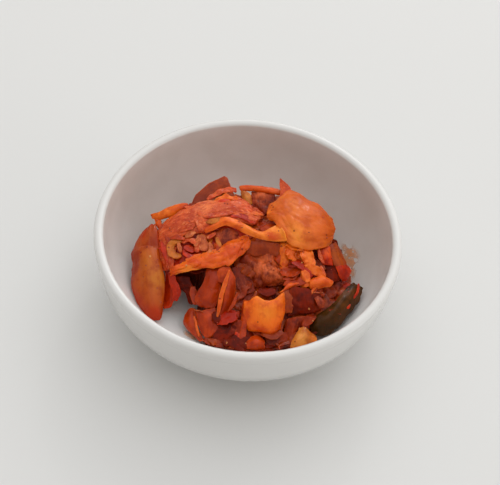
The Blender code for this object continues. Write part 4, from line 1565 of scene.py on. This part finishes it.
# Leaves that hang down the front to the bottom of the bowl.
FRONT = PieceGroup((
    Sheet("hang_up", LEAF_ORANGE_RED, (
        ((-15, -8.5, 26), (-12.5, -8.5, 26.5), (-10, -7.5, 26.5)),
        ((-15.5, -13, 23.5), (-12, -13.5, 25), (-9, -11.5, 25)),
        ((-17.5, -16, 20.5), (-13, -17.5, 22.5), (-8.5, -15.5, 23)),
        ((-18.5, -19, 18), (-13.5, -20, 20.5), (-9, -18.5, 21)),
        ((-17, -20, 16), (-13.5, -22, 17.5), (-9.5, -21.5, 18.5)),
    ), thick=1.1, crumple=0.3, corner=1.6, stain=0.2, tints=(Tint(Mark.DEEP, 0.1, 0.5, 6, 0.8),)),
    Sheet("tuck_leaf", LEAF_ORANGE_RED, (
        ((-10.5, -8, 27.5), (-8.5, -7.5, 27.5), (-6, -8, 27.5)),
        ((-9.5, -11, 25.5), (-7.5, -11, 26), (-5.5, -10.5, 26.5)),
        ((-8.5, -14, 23.5), (-7.5, -13.5, 24), (-6.5, -13, 24.5)),
    ), thick=0.9, rim=0.4),
    Sheet("narrow", LEAF_ORANGE_RED, (
        ((-6.5, -9.5, 27.5), (-6, -9, 27.5), (-5.5, -9.5, 27.5)),
        ((-7.5, -13.5, 25.5), (-6, -14, 26.5), (-3.5, -12, 25.5)),
        ((-8.5, -17, 23), (-6, -18, 25), (-3, -15.5, 22.5)),
        ((-8.5, -20.5, 20), (-6.5, -21.5, 22), (-3, -19, 20)),
        ((-9, -23.5, 17), (-7.5, -24, 18.5), (-5, -22.5, 17.5)),
        ((-9.5, -26, 15), (-9, -26, 15), (-8, -25.5, 15)),
    ), thick=0.9, rim=1.0, crumple=0.2, tints=(Tint(Mark.DEEP, 0.5, 0.8, 3, 0.6),)),
    Sheet("hang_low", LEAF_ORANGE_RED, (
        ((-18, -22.5, 16), (-14, -22.5, 17.5), (-10, -21.5, 18)),
        ((-17, -25, 15), (-13, -26, 17), (-9, -25, 17)),
        ((-16, -27.5, 13.5), (-12, -28.5, 15.5), (-8, -28, 15.5)),
        ((-14.5, -30.5, 12.5), (-11.5, -31.5, 13.5), (-8.5, -30.5, 14)),
        ((-12.5, -32.5, 12), (-11.5, -32.5, 12.5), (-10.5, -32, 12.5)),
    ), thick=1.1, crumple=0.3, rim=0.6),
    Sheet("low_left", LEAF_ORANGE_RED, (
        ((-20, -19.5, 13.5), (-19.5, -20, 14), (-18, -20, 14)),
        ((-22, -22.5, 12), (-19.5, -23.5, 13.5), (-17.5, -23, 14)),
        ((-22, -25, 10.5), (-19.5, -26.5, 12.5), (-16.5, -26, 13.5)),
        ((-20, -28, 10), (-18, -29, 11.5), (-16, -28.5, 12.5)),
        ((-17.5, -30.5, 10.5), (-16, -31.5, 11), (-14, -31.5, 11.5)),
        ((-15, -33.5, 11), (-14, -33.5, 11.5), (-12.5, -33.5, 11.5)),
    ), thick=1.0, crumple=0.3, rim=0.8),
    Sheet("front_fill", LEAF_MAROON, (
        ((-13.5, -33.5, 11), (-12.5, -30.5, 12), (-11, -27.5, 13)),
        ((-8.5, -35, 11), (-8, -31, 12.5), (-7, -27, 13.5)),
        ((-3.5, -36, 11.5), (-3, -31.5, 12.5), (-2.5, -27, 14)),
        ((1.5, -36.5, 12), (1.5, -33, 13), (2, -28.5, 14.5)),
    ), thick=1.0, crumple=0.7, crumple_cell=3.0),
    Sheet("orange_bit", LEAF_VIVID, (
        ((-3.5, -34, 13.5), (-2.5, -33.5, 14), (-0.5, -33.5, 14)),
        ((-3.5, -36, 13.5), (-2, -36, 14), (0, -35.5, 13.5)),
        ((-3, -37.5, 12.5), (-1.5, -38, 13), (0, -37.5, 13)),
    ), thick=1.0, edge=0.6, corner=0.4, jag=0.8, stain=0.3),
    Sheet("dark_side", LEAF_MAROON, (
        ((-4.5, -9.5, 20), (-2.5, -9, 21), (0.5, -12, 20)), ((-4, -17.5, 17), (-1.5, -18, 18), (1, -20, 18)),
        ((-7.5, -24, 14.5), (-3, -25, 15.5), (1, -26.5, 16.5)),
        ((-9.5, -29, 13), (-5, -30.5, 13.5), (0.5, -32, 14.5)),
    ), thick=0.9, crumple=0.6),
    # dark leaf under the lip; its darkness partly paints the shade there
    Sheet("under_lip", LEAF_MAROON, (
        ((-28.5, -10.5, 20), (-25, -10, 20.5), (-21.5, -9, 20)),
        ((-27.5, -12, 17.5), (-24, -12, 18), (-20, -12, 18)),
        ((-23, -13, 14.5), (-20, -13.5, 15), (-17, -14, 15.5)),
        ((-21, -16.5, 12.5), (-19, -17.5, 13), (-17.5, -17.5, 13.5)),
    ), thick=0.9, crumple=0.7, crumple_cell=2.5),
))

# The crumpled leaf in the middle, with the thick square rib before it.
MIDDLE = PieceGroup((
    Sheet("under_ribbon", LEAF_RUSSET, (
        ((-4, 2.5, 29.5), (1, 4, 30), (6.5, 4, 30.5), (13, 3.5, 30.5)),
        ((-3, 1.5, 28), (1.5, 2, 28.5), (7, 2, 29), (13, 1.5, 28.5)),
        ((-2, 0, 26), (2.5, -0.5, 26.5), (7.5, -0.5, 27), (13, -0.5, 27)),
    ), thick=1.0, crumple=0.4, stain=0.2),
    Sheet("centre_leaf", LEAF_BROWN, (
        ((-3.5, 1.5, 25), (0, 2, 26.5), (4, 2, 27), (8.5, 2.5, 27), (13, 3, 26.5)),
        ((-4, -2, 23.5), (0, -2.5, 26.5), (5, -1.5, 25), (9, -1.5, 27), (14, -1, 25.5)),
        ((-3.5, -5, 21.5), (0.5, -5, 23.5), (4.5, -6, 25.5), (9.5, -6, 27), (15, -5, 24.5)),
        ((-2, -8, 20), (1.5, -8.5, 21.5), (6, -9.5, 23.5), (10.5, -9.5, 25), (16, -8.5, 23.5)),
        ((-0.5, -11, 18.5), (2.5, -11, 19.5), (6.5, -11.5, 20.5), (11, -11, 21.5), (16, -11, 21.5)),
    ), thick=1.0, crumple=1.3, crumple_cell=3.0, relief=0.35, jag=1.5, jag_cell=3.5, corner=3.0,
        tints=(Tint(Mark.PALE, 0.42, 0.62, 5.5, 0.8), Tint(Mark.PALE, 0.62, 0.85, 4, 0.6),
               Tint(Mark.DEEP, 0.35, 0.08, 5, 0.9))),
    Sheet("dark_wall", LEAF_MAROON, (
        ((-3.5, -8, 20.5), (1, -9.5, 19.5), (7.5, -11, 19.5), (14, -11, 21)),
        ((-3, -11.5, 19), (1, -12.5, 18.5), (7, -14.5, 18.5), (14, -14.5, 19.5)),
        ((-2, -16, 17.5), (1.5, -16.5, 17.5), (6.5, -17, 17.5), (12.5, -17.5, 17.5)),
    ), thick=0.9, crumple=0.6),
    Sheet("block_strip", LEAF_ORANGE_RED, (
        ((0.5, -19.5, 21.5), (1, -19.5, 22), (2.5, -20, 22.5)),
        ((0.5, -23.5, 19), (1.5, -24, 20), (2.5, -24, 20)),
        ((0, -28, 16.5), (1.5, -28, 17.5), (3, -28, 17.5)),
        ((-0.5, -32, 14.5), (1, -32.5, 15.5), (3, -32, 15.5)),
        ((-0.5, -36, 13.5), (1, -36.5, 13.5), (2.5, -35.5, 13.5)),
    ), thick=1.0),
    Sheet("block", RIB_VIVID, (
        ((1, -20.5, 22.5), (3, -20.5, 23.5), (5.5, -19.5, 25.5), (9, -20.5, 24.5), (12.5, -19.5, 24.5),
         (16, -15.5, 26)),
        ((1, -22.5, 20.5), (3.5, -23, 21.5), (6, -22.5, 23), (9.5, -23, 23.5), (13, -22, 23.5),
         (16.5, -18.5, 23.5)),
        ((1.5, -25, 18), (4, -25.5, 19), (6.5, -25.5, 21), (10, -26, 21), (13.5, -24.5, 21),
         (17, -21.5, 21)),
        ((2.5, -27, 16), (4.5, -27.5, 17), (7, -28, 18.5), (10.5, -28.5, 18.5), (13.5, -27.5, 18.5),
         (16.5, -24.5, 19)),
        ((4, -29, 14.5), (6, -29, 15.5), (8, -29.5, 16), (11, -30, 16), (13.5, -29.5, 16),
         (16, -27.5, 16.5)),
    ), thick=3.4, edge=1.4, swell=1.2, crumple=0.2, rim=0.35, jag=0.3, corner=1.0,
        tints=(Tint(Mark.BRIGHT, 0.05, 0.5, 4, 0.6), Tint(Mark.BRIGHT, 0.1, 0.9, 3, 0.5),
               Tint(Mark.PALE, 0.35, 0.6, 4, 0.8), Tint(Mark.DEEP, 0.5, 0.1, 3, 0.6),
               Tint(Mark.DEEP, 1, 0.5, 3.5, 0.9))),
    Sheet("block_arm", LEAF_VIVID, (
        ((14, -17, 25), (15, -16.5, 26), (16.5, -15, 26)),
        ((17, -14.5, 25), (17.5, -14, 26), (17.5, -12.5, 26)),
        ((20, -13, 25.5), (20, -12.5, 26), (20.5, -11.5, 26)),
        ((23, -11.5, 25), (23, -11, 25.5), (23.5, -10.5, 25.5)),
    ), thick=1.0, stain=0.4),
    Sheet("maroon_leaf", LEAF_MAROON, (
        ((16, -14, 25), (20.5, -13.5, 26), (25, -13, 25), (30.5, -13.5, 24)),
        ((16.5, -17.5, 23), (21, -17, 24), (26, -16.5, 23.5), (31.5, -16.5, 22.5)),
        ((17.5, -20, 21), (22, -20, 22), (26.5, -19.5, 21.5), (31.5, -19, 20.5)),
        ((18.5, -23, 18.5), (22.5, -22, 19.5), (26.5, -21, 19.5), (29.5, -20, 19)),
    ), thick=1.1, crumple=0.5,
        # the pale patch at the right edge is a painted pink highlight
        tints=(Tint(Mark.PALE, 0.5, 0.95, 2.5, 0.8), Tint(Mark.PALE, 0.2, 0.1, 3, 0.4))),
    Sheet("brown_low", LEAF_BROWN, (
        ((18, -23.5, 18), (21.5, -23, 19), (25, -22, 19), (28, -20.5, 18.5)),
        ((17.5, -26, 16.5), (21, -26, 17.5), (24, -24.5, 17.5), (27.5, -23, 17)),
        ((17, -28.5, 14.5), (20.5, -29, 15.5), (23, -27, 15.5), (25.5, -25, 15.5)),
        ((17, -31.5, 13), (19.5, -32, 13.5), (21.5, -30.5, 14), (24, -28, 13.5)),
    ), thick=1.0, crumple=0.35, rim=0.8),
    Sheet("front_leaf", LEAF_BROWN, (
        ((10, -30.5, 15), (14, -29.5, 16), (18.5, -28, 15.5)),
        ((11, -32.5, 14), (15, -32, 14.5), (20, -31, 14)),
        ((12, -35.5, 13), (16.5, -35.5, 13), (21, -34.5, 13)),
    ), thick=1.0, crumple=0.4),
    Sheet("roll", LEAF_ORANGE_RED, (
        ((2, -35.5, 13), (2.5, -36.5, 13), (2.5, -36.5, 12.5)),
        ((4, -32.5, 15), (5, -36, 15.5), (5.5, -37, 12.5)),
        ((7, -31.5, 15.5), (7.5, -35.5, 16.5), (8, -37, 12.5)),
        ((10, -32.5, 14.5), (10.5, -34.5, 15), (10.5, -36.5, 12.5)),
    ), thick=1.4, edge=0.8, rim=1.0, crumple=0.2, corner=2.0),
    Sheet("pale_bit", RIB_YELLOW, (
        ((20, -34.5, 14.5), (21, -34.5, 14), (21.5, -35, 13.5)),
        ((22, -30.5, 16.5), (23, -33, 17), (24, -34.5, 14.5)),
        ((24.5, -27, 18), (25.5, -31, 18.5), (26.5, -34, 15.5)),
        ((27.5, -28.5, 17.5), (28, -31.5, 17.5), (28.5, -33, 16)),
        ((30, -30, 16.5), (30.5, -31, 16.5), (31, -32, 16)),
    ), thick=1.8, edge=1.0, crumple=0.25,
        tints=(Tint(Mark.BRIGHT, 0.8, 0.5, 3, 0.8), Tint(Mark.PALE, 0.4, 0.5, 3, 0.6))),
))

# Ruffled orange leaf, red leaves and the olive leaf at the right.
RIGHT = PieceGroup((
    Sheet("ruffled_stem", RIB_VIVID, (
        ((12.5, 4.5, 30), (14.5, 4.5, 30.5), (17, 4, 30.5)), ((13, 1, 28), (15, 0.5, 29), (17, 0.5, 28.5)),
        ((13, -2, 26.5), (15, -3, 27), (17, -2.5, 27)), ((14, -5, 24.5), (15, -6, 25), (16.5, -5, 25)),
    ), thick=1.2, edge=0.6, pale=0.5, jag=0.8),
    Sheet("ruffle_top", LEAF_VIVID, (
        ((15.5, 3.5, 30), (19, 2.5, 30), (23, 3, 29.5), (25.5, 3.5, 29)),
        ((16, 1.5, 29), (20, 1, 29), (23, 1, 29), (26.5, 0.5, 27.5)),
        ((17, 0, 27.5), (20, -0.5, 28.5), (23, -1, 28), (26.5, -2, 27)),
        ((17.5, -2, 26), (20.5, -2, 27), (23.5, -3, 27), (26.5, -3.5, 26)),
    ), thick=1.0, crumple=0.7, crumple_cell=2.4, ruffle=0.5, ripple=4.0, jag=0.8,
        tints=(Tint(Mark.DEEP, 0.6, 0.3, 2, 0.7),)),
    Sheet("red_band", LEAF_DEEP_RED, (
        ((19, -3, 27), (19.5, -2, 27.5), (20.5, -1, 27.5)),
        ((23, -5.5, 26.5), (24, -4.5, 27), (24.5, -3, 27)),
        ((27.5, -7.5, 25), (28, -6.5, 25.5), (29, -4.5, 25.5)),
        ((30.5, -7.5, 24), (31, -7, 24.5), (32, -5.5, 24)),
    ), thick=1.0, crumple=0.2),
    Sheet("ruffle_left", LEAF_ORANGE_RED, (
        ((13.5, -5, 25.5), (17.5, -4.5, 26.5), (22.5, -4.5, 27)),
        ((15, -7, 24.5), (18, -6.5, 25.5), (22, -6, 26)),
        ((16.5, -9.5, 23.5), (18, -9, 24), (19.5, -8, 24.5)),
    ), thick=0.9, rim=0.9, crumple=0.4),
    Sheet("ruffle_spike", LEAF_VIVID, (
        ((22, -6, 27), (22.5, -5.5, 27.5), (23.5, -6, 27)),
        ((22, -8.5, 26), (23.5, -8.5, 27), (25.5, -7.5, 26.5)),
        ((22.5, -12, 24), (24.5, -12.5, 25), (27, -11.5, 24.5)),
    ), thick=1.0, crumple=0.3, tints=(Tint(Mark.DEEP, 0.9, 0.5, 3, 0.5),)),
    Sheet("ruffle_tongue", LEAF_VIVID, (
        ((25, -9.5, 26), (25.5, -11.5, 26), (25.5, -13, 24.5)),
        ((28, -8.5, 26.5), (28, -11.5, 26.5), (28.5, -12.5, 24.5)),
        ((30.5, -7, 26.5), (31, -10, 26.5), (31, -11.5, 24.5)),
        ((33, -7.5, 25.5), (33.5, -9.5, 25.5), (33.5, -11, 24.5)),
        ((34.5, -8.5, 25), (35, -9, 25), (34.5, -10, 24.5)),
    ), thick=1.2, crumple=0.35, rim=0.5, corner=1.5, tints=(Tint(Mark.DEEP, 0.5, 0.9, 4, 0.6),)),
    Sheet("red_pink", LEAF_DEEP_RED, (
        ((27.5, 4.5, 28.5), (30, 5.5, 29), (32.5, 6, 29)), ((28.5, 2, 26.5), (31, 2, 27.5), (33.5, 2.5, 27)),
        ((30.5, -1, 25), (32.5, -1, 25.5), (34.5, -0.5, 25)),
    # the pale patch near the back edge is a painted pink highlight
    ), thick=1.2, crumple=0.4, tints=(Tint(Mark.PALE, 0.2, 0.6, 2.5, 0.9),)),
    Sheet("tan_leaf", LEAF_RUSSET, (
        ((31.5, 6.5, 28.5), (33, 8, 28), (35, 10, 27)), ((33, 4.5, 27), (35, 5.5, 27), (37, 7.5, 25)),
        ((34, 2, 25.5), (36.5, 3, 25), (39, 4.5, 23.5)), ((35, 0, 24), (38, 0.5, 23.5), (40.5, 2.5, 21.5)),
    ), thick=1.3, edge=0.8, crumple=0.2, tints=(Tint(Mark.PALE, 0.5, 0.5, 4, 0.5),)),
    Sheet("red_tip", LEAF_DEEP_RED, (
        ((34.5, 1, 24.5), (37.5, 1.5, 24), (40.5, 3, 22)), ((36, -1, 23), (39, -0.5, 22.5), (42, 2, 20.5)),
        ((37.5, -3, 21), (39.5, -2.5, 20.5), (42, 0.5, 20)),
        ((39, -3.5, 19.5), (40, -3.5, 19.5), (41, -2.5, 19)),
    ), thick=1.3, edge=0.8, crumple=0.25, corner=2.0, rim=0.8,
        tints=(Tint(Mark.BRIGHT, 0.4, 0.3, 3, 0.5),)),
    # dark leaf in the gap; its darkness partly paints the gap's shade
    Sheet("dark_gap_leaf", LEAF_MAROON, (
        ((29, 1, 24.5), (31.5, 1.5, 25), (34, 1.5, 24.5)),
        ((31, -1.5, 23), (33.5, -1.5, 23.5), (36, -1, 22.5)),
        ((33, -5.5, 21), (35.5, -5.5, 21), (38, -4, 20.5)),
    ), thick=0.9, crumple=0.4),
    Sheet("green_leaf", LEAF_GREEN, (
        ((27.5, -24.5, 15.5), (28.5, -26, 15), (30, -27.5, 14)),
        ((28.5, -22, 17.5), (31, -25, 18), (34.5, -27, 14.5)),
        ((31.5, -19.5, 19.5), (34.5, -23, 20), (38.5, -23, 15)),
        ((35.5, -16, 20.5), (37.5, -19, 21), (41.5, -19, 16)),
        ((38, -12.5, 21), (40.5, -14.5, 21), (44, -15, 17)),
        ((40.5, -8, 21), (43, -9, 20.5), (46.5, -9.5, 17.5)),
        ((43, -4.5, 20.5), (45, -5, 20), (47.5, -5, 18.5)),
    ), thick=1.1, edge=0.6, crumple=0.35, jag=0.7, relief=0.15, rim=0.3,
        tints=(Tint(Mark.PALE, 0.75, 0.4, 5, 0.6), Tint(Mark.DEEP, 0.2, 0.5, 7, 0.6))),
    Sheet("green_streak", LEAF_DEEP_RED, (
        ((45, -5, 21), (45.5, -5, 21), (46, -5.5, 21)), ((44.5, -9, 20.5), (45, -9, 20.5), (45.5, -9, 20)),
        ((42.5, -13, 20), (43, -13, 20), (43.5, -13, 19.5)),
        ((41, -17, 19.5), (41.5, -17, 19.5), (42, -17, 19)),
    ), thick=0.9, edge=0.7, jag=0.3, rim=0.6),
))


@dataclass
class Shreds:
    """Smaller cuts scattered over the core, joined to one mesh for each finish.

    length, half, lift, lean and curl are the ranges that each cut's size and turn are drawn from.
    """

    name: str
    finish: CabbageFinish
    count: int
    middle: tuple[float, float]
    reach: float
    length: tuple[float, float]
    half: tuple[float, float]
    lift: tuple[float, float] = (0.3, 1.3)
    lean: float = 25.0
    curl: float = 90.0
    thick: float = 0.8
    step: float = 0.75
    bend: float = 0.5
    stations: int = 4
    taper: tuple[float, ...] = (0.7, 1.0, 1.0, 0.6)
    lowest: float = 7.5
    steepest: float = 0.55
    wall_gap: float = 1.2
    outermost: float = 51.0
    tight_curl: float = 60.0

    def spine(
        self, tree: BVHTree, start: tuple[float, float], way: float, bend: float, length: float
    ) -> list[Point]:
        """Lays a cut's middle line on the core.

        Args:
            tree: The core's faces.
            start: Where the line starts.
            way: The way that it sets off, in radians.
            bend: How far it turns at each station, in radians.
            length: Its length, in millimetres.

        Returns:
            Its stations, fewer than usual where it runs off the core.
        """
        x, y = start
        step = length / (self.stations - 1)
        spots = []
        for _ in range(self.stations):
            hit = tree.ray_cast(Vector((x, y, DROP_HEIGHT)), DOWN)[0]
            if hit is None:
                break
            spots.append((x, y, hit.z))
            x, y = x + math.cos(way) * step, y + math.sin(way) * step
            way += bend
        return spots

    def fits(self, spots: list[Point], length: float, half: float, lift: float) -> bool:
        """Tells whether a cut lies well on the core and clear of the bowl.

        Args:
            spots: Its stations on the core.
            length: Its length, in millimetres.
            half: Half its width.
            lift: How far it is raised off the core.

        Returns:
            Whether it is kept.
        """
        if len(spots) < self.stations or spots[0][2] + lift < self.lowest:
            return False
        if max(abs(np.diff([z for _, _, z in spots]))) > self.steepest * length:
            return False
        out = [math.hypot(x, y) for x, y, _ in spots]
        gaps = [spot[2] - Bowl().wall_height(radius) for spot, radius in zip(spots, out)]
        return min(gaps) >= self.wall_gap and max(out) + half <= self.outermost

    def build(self, core: bpy.types.Object) -> None:
        """Scatters the cuts over the core.

        Args:
            core: The core that they lie on.
        """
        tree = BVHTree.FromPolygons(
            [tuple(v.co / MM) for v in core.data.vertices], [tuple(p.vertices) for p in core.data.polygons]
        )
        draw = np.random.default_rng(name_seed(self.name))
        sheets = []
        while len(sheets) < self.count:
            turn, reach = draw.uniform(0.0, FULL_TURN), self.reach * math.sqrt(draw.uniform())
            start = (self.middle[0] + reach * math.cos(turn), self.middle[1] + reach * math.sin(turn))
            way, bend = draw.uniform(0.0, FULL_TURN), draw.uniform(-self.bend, self.bend)
            length, lift = draw.uniform(*self.length), draw.uniform(*self.lift)
            spots = self.spine(tree, start, way, bend, length)
            half, lean = draw.uniform(*self.half), draw.uniform(-self.lean, self.lean)
            curl = draw.uniform(0.0, self.curl)
            if not self.fits(spots, length, half, lift):
                continue
            rows = strip_rows(
                tuple((x, y, z + lift) for x, y, z in spots), tuple(share * half for share in self.taper),
                lean, curl, 5 if curl > self.tight_curl else 3,
            )
            sheets.append(Sheet(
                f"{self.name}_{len(sheets)}", self.finish, rows, thick=self.thick, crumple=0.6, ruffle=0.5,
                jag=1.1, jag_cell=2.8, corner=0.5, step=self.step, stain=float(draw.uniform(0.0, 0.6)),
                pale=float(draw.uniform(0.0, 0.4)),
            ))
        claim(join_sheets(self.name, tuple(sheets)), HEAP_NODE)


SHRED_SETS = (
    Shreds("shreds_maroon", LEAF_MAROON, count=26, middle=(1.0, -6.0), reach=40.0, length=(14.0, 24.0),
           half=(4.0, 7.5), lift=(-0.4, 0.3), lean=15.0, curl=50.0),
    Shreds("shreds_brown", LEAF_BROWN, count=22, middle=(1.0, -2.0), reach=42.0, length=(12.0, 22.0),
           half=(3.5, 6.5), lift=(-0.4, 0.5), lean=15.0, curl=50.0),
    Shreds("shreds_russet", LEAF_RUSSET, count=16, middle=(1.0, 0.0), reach=44.0, length=(12.0, 20.0),
           half=(2.5, 5.0), lift=(-0.2, 0.6), lean=15.0, curl=60.0),
    Shreds("shreds_red", LEAF_DEEP_RED, count=14, middle=(1.0, 6.0), reach=42.0, length=(8.0, 16.0),
           half=(1.2, 3.2), lift=(0.0, 0.6)),
    Shreds("back_leaves_russet", LEAF_RUSSET, count=18, middle=(2.0, 26.0), reach=22.0, length=(14.0, 22.0),
           half=(4.0, 7.0), lift=(1.5, 3.2), lean=20.0, curl=60.0),
    Shreds("back_leaves_orange", LEAF_ORANGE_RED, count=18, middle=(6.0, 24.0), reach=24.0,
           length=(14.0, 22.0), half=(4.0, 7.0), lift=(1.5, 3.2), lean=20.0),
    Shreds("back_ribs", RIB_AMBER, count=9, middle=(2.0, 26.0), reach=20.0, length=(12.0, 20.0),
           half=(3.0, 5.5), lift=(1.8, 3.2), lean=20.0, curl=50.0, thick=1.8),
    Shreds("back_vivid", RIB_VIVID, count=12, middle=(2.0, 26.0), reach=22.0, length=(7.0, 14.0),
           half=(1.2, 2.6), lift=(1.6, 3.0), lean=20.0, curl=60.0, thick=1.2),
    Shreds("back_brown", LEAF_BROWN, count=12, middle=(4.0, 24.0), reach=24.0, length=(10.0, 18.0),
           half=(3.0, 6.0), lift=(1.2, 2.6), lean=20.0),
)


@dataclass
class ChiliFlakes:
    """Coarse chili flakes and a few pale seeds that lie on the leaves, one joined mesh for each kind."""

    name: str
    finish: FlakeFinish
    count: int
    size: tuple[float, float]
    aspect: float = 0.7
    reach: float = 43.0
    corners: int = 7
    body: float = 0.22
    raised: float = 0.3
    top_share: float = 0.8
    ragged: float = 0.25
    least_level: float = 0.3

    def outline(self, draw: np.random.Generator, spot: Vector, facing: Vector) -> list[Point]:
        """Draws one flake's lower and upper outline.

        Args:
            draw: The random numbers.
            spot: Where it lies, in metres.
            facing: The way that the leaf faces there.

        Returns:
            Its points, in millimetres, the lower ones first.
        """
        along = facing.orthogonal().normalized()
        across = facing.cross(along)
        turn, size = draw.uniform(0.0, FULL_TURN), draw.uniform(*self.size)
        points = []
        for lift, share in ((-0.5, 1.0), (0.5, self.top_share)):
            for k in range(self.corners):
                angle = turn + FULL_TURN * k / self.corners
                out = size * (1.0 + draw.uniform(-self.ragged, self.ragged)) * share
                a, b = out * math.cos(angle), out * self.aspect * math.sin(angle)
                place = spot / MM + along * (a * math.cos(turn) - b * math.sin(turn))
                place = place + across * (a * math.sin(turn) + b * math.cos(turn))
                points.append(tuple(place + facing * (self.raised * self.body + lift * self.body)))
        return points

    def build(self) -> None:
        """Drops the flakes on whatever cabbage lies below them."""
        draw = np.random.default_rng(name_seed(self.name))
        graph = bpy.context.evaluated_depsgraph_get()
        points, faces = [], []
        while len(points) < self.count * 2 * self.corners:
            turn, reach = draw.uniform(0.0, FULL_TURN), self.reach * math.sqrt(draw.uniform())
            start = Vector((reach * math.cos(turn), reach * math.sin(turn), DROP_HEIGHT)) * MM
            found, spot, facing, _, obj, _ = bpy.context.scene.ray_cast(graph, start, DOWN)
            if not found or facing.z < self.least_level:
                continue
            if not obj.data.materials[0].name.startswith("cabbage"):
                continue
            low = list(range(len(points), len(points) + self.corners))
            high = [i + self.corners for i in low]
            points += self.outline(draw, spot, facing)
            faces += [tuple(reversed(low)), tuple(high)]
            for k in range(self.corners):
                after = (k + 1) % self.corners
                faces.append((low[k], low[after], high[after], high[k]))
        obj = mesh_object(self.name, np.array(points) * MM, faces, self.finish.material())
        claim(obj, HEAP_NODE)


FLAKE_SETS = (
    ChiliFlakes("chili_flakes", FlakeFinish(), count=70, size=(0.2, 0.42)),
    ChiliFlakes("chili_seeds", FlakeFinish("chili_seed_wet", "#D88A44", "#B8601E"), count=12,
                size=(0.4, 0.6), aspect=0.75, body=0.35, ragged=0.08),
)


@dataclass(frozen=True)
class Lamp:
    """A square soft lamp: its place and side in millimetres and its power in watts."""

    name: str
    place: Point
    side: float
    power: float
    colour: str = "#FFFFFF"


@dataclass
class Studio:
    """A pale table, a large soft window behind to the right, two weaker lamps and the camera."""

    table: TableFinish = field(default_factory=TableFinish)
    table_side: float = 2400.0
    room_light: float = 0.60
    room_colour: str = "#F6F2EE"
    window_light: float = 0.74
    window_colour: str = "#FDFEFF"
    window_way: Point = (0.10, 0.30, 0.95)
    window_edge: float = 0.4
    lamps: tuple[Lamp, ...] = (
        Lamp("window_back_right", (300.0, 1000.0, 600.0), 1000.0, 3.1),
        Lamp("ceiling_glint", (160.0, 800.0, 650.0), 90.0, 0.32),
        Lamp("wall_bounce_right", (900.0, -250.0, 160.0), 400.0, 1.2),
    )
    lamp_aim: Point = (0.0, 0.0, 20.0)
    rim_height: float = 41.0
    tilt_down: float = 51.28
    roll: float = 5.65
    distance: float = 600.0
    aim_right: float = 0.47
    aim_down: float = 4.62
    lens: float = 111.3
    sensor: float = 36.0
    clip_start: float = 20.0

    def floor(self) -> None:
        """Lays the table top."""
        side = self.table_side / 2.0 * MM
        corners = np.array([(-side, -side, 0.0), (side, -side, 0.0), (side, side, 0.0), (-side, side, 0.0)])
        floor = mesh_object("table_top", corners, [(0, 1, 2, 3)], self.table.material())

    def hang(self, lamp: Lamp) -> None:
        """Adds one lamp.

        Args:
            lamp: What the lamp is like.
        """
        light = bpy.data.lights.new(lamp.name, "AREA")
        light.size = lamp.side * MM
        light.energy = lamp.power
        light.color = linear_colour(lamp.colour)[:3]
        obj = bpy.data.objects.new(lamp.name, light)
        obj.location = Vector(lamp.place) * MM
        obj.rotation_euler = (Vector(self.lamp_aim) - Vector(lamp.place)).to_track_quat("-Z", "Y").to_euler()
        bpy.context.scene.collection.objects.link(obj)

    def sky(self) -> None:
        """Lights the room softly and evenly, a little brighter from above."""
        world = bpy.data.worlds.new("soft_room")
        world.use_nodes = True
        tree = world.node_tree
        tree.nodes.clear()
        way = add_node(tree, "ShaderNodeTexCoord").outputs["Generated"]
        window = tuple(Vector(self.window_way).normalized())
        facing = add_node(
            tree, "ShaderNodeVectorMath", {0: way, 1: window}, operation="DOT_PRODUCT"
        ).outputs["Value"]
        share = add_node(
            tree, "ShaderNodeMapRange", {0: facing, 1: self.window_edge, 2: 1.0},
            interpolation_type="SMOOTHSTEP",
        ).outputs[0]
        tones = {0: share, 6: linear_colour(self.room_colour), 7: linear_colour(self.window_colour)}
        colour = add_node(tree, "ShaderNodeMix", tones, data_type="RGBA").outputs[2]
        strength = add_node(
            tree, "ShaderNodeMath", {0: share, 1: self.window_light, 2: self.room_light},
            operation="MULTIPLY_ADD",
        ).outputs[0]
        back = add_node(tree, "ShaderNodeBackground", {"Color": colour, "Strength": strength})
        add_node(tree, "ShaderNodeOutputWorld", {"Surface": back.outputs[0]})
        bpy.context.scene.world = world

    def camera(self) -> None:
        """Looks down at the rim from the diner's side."""
        tilt, roll = math.radians(self.tilt_down), math.radians(self.roll)
        right, up = Vector((1, 0, 0)), Vector((0, math.sin(tilt), math.cos(tilt)))
        ahead = Vector((0, math.cos(tilt), -math.sin(tilt)))
        side = right * math.cos(roll) + up * math.sin(roll)
        top = up * math.cos(roll) - right * math.sin(roll)
        aim = Vector((0, 0, self.rim_height)) + side * self.aim_right - top * self.aim_down
        place = (aim - ahead * self.distance) * MM
        data = bpy.data.cameras.new("diner_view")
        data.lens = self.lens
        data.sensor_width = self.sensor
        data.clip_start = self.clip_start * MM
        camera = bpy.data.objects.new("diner_view", data)
        turn = Matrix((side, top, -ahead)).transposed()
        camera.matrix_world = Matrix.Translation(place) @ turn.to_4x4()
        bpy.context.scene.collection.objects.link(camera)
        bpy.context.scene.camera = camera

    def build(self) -> None:
        """Sets the whole stage."""
        self.floor()
        self.sky()
        for lamp in self.lamps:
            self.hang(lamp)
        self.camera()
        bpy.context.scene.view_settings.view_transform = "Standard"


PIECE_GROUPS = (
    LEFT_RIBS, BUNDLE, BUNDLE_FOLDS, BUNDLE_SHREDS, RUFFLES, FRONT_CUTS, BACK, SLICE, FRONT, MIDDLE, RIGHT,
)


def main() -> None:
    """Builds the bowl, the heap and the stage in order."""
    logging.basicConfig(level=logging.INFO, format="%(name)s %(message)s")
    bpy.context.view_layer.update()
    Bowl().build()
    core = HeapCore().build()
    for shreds in SHRED_SETS:
        shreds.build(core)
    for group in PIECE_GROUPS:
        group.build()
    for flakes in FLAKE_SETS:
        flakes.build()
    Studio().build()
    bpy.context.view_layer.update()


if __name__ == "__main__":
    main()
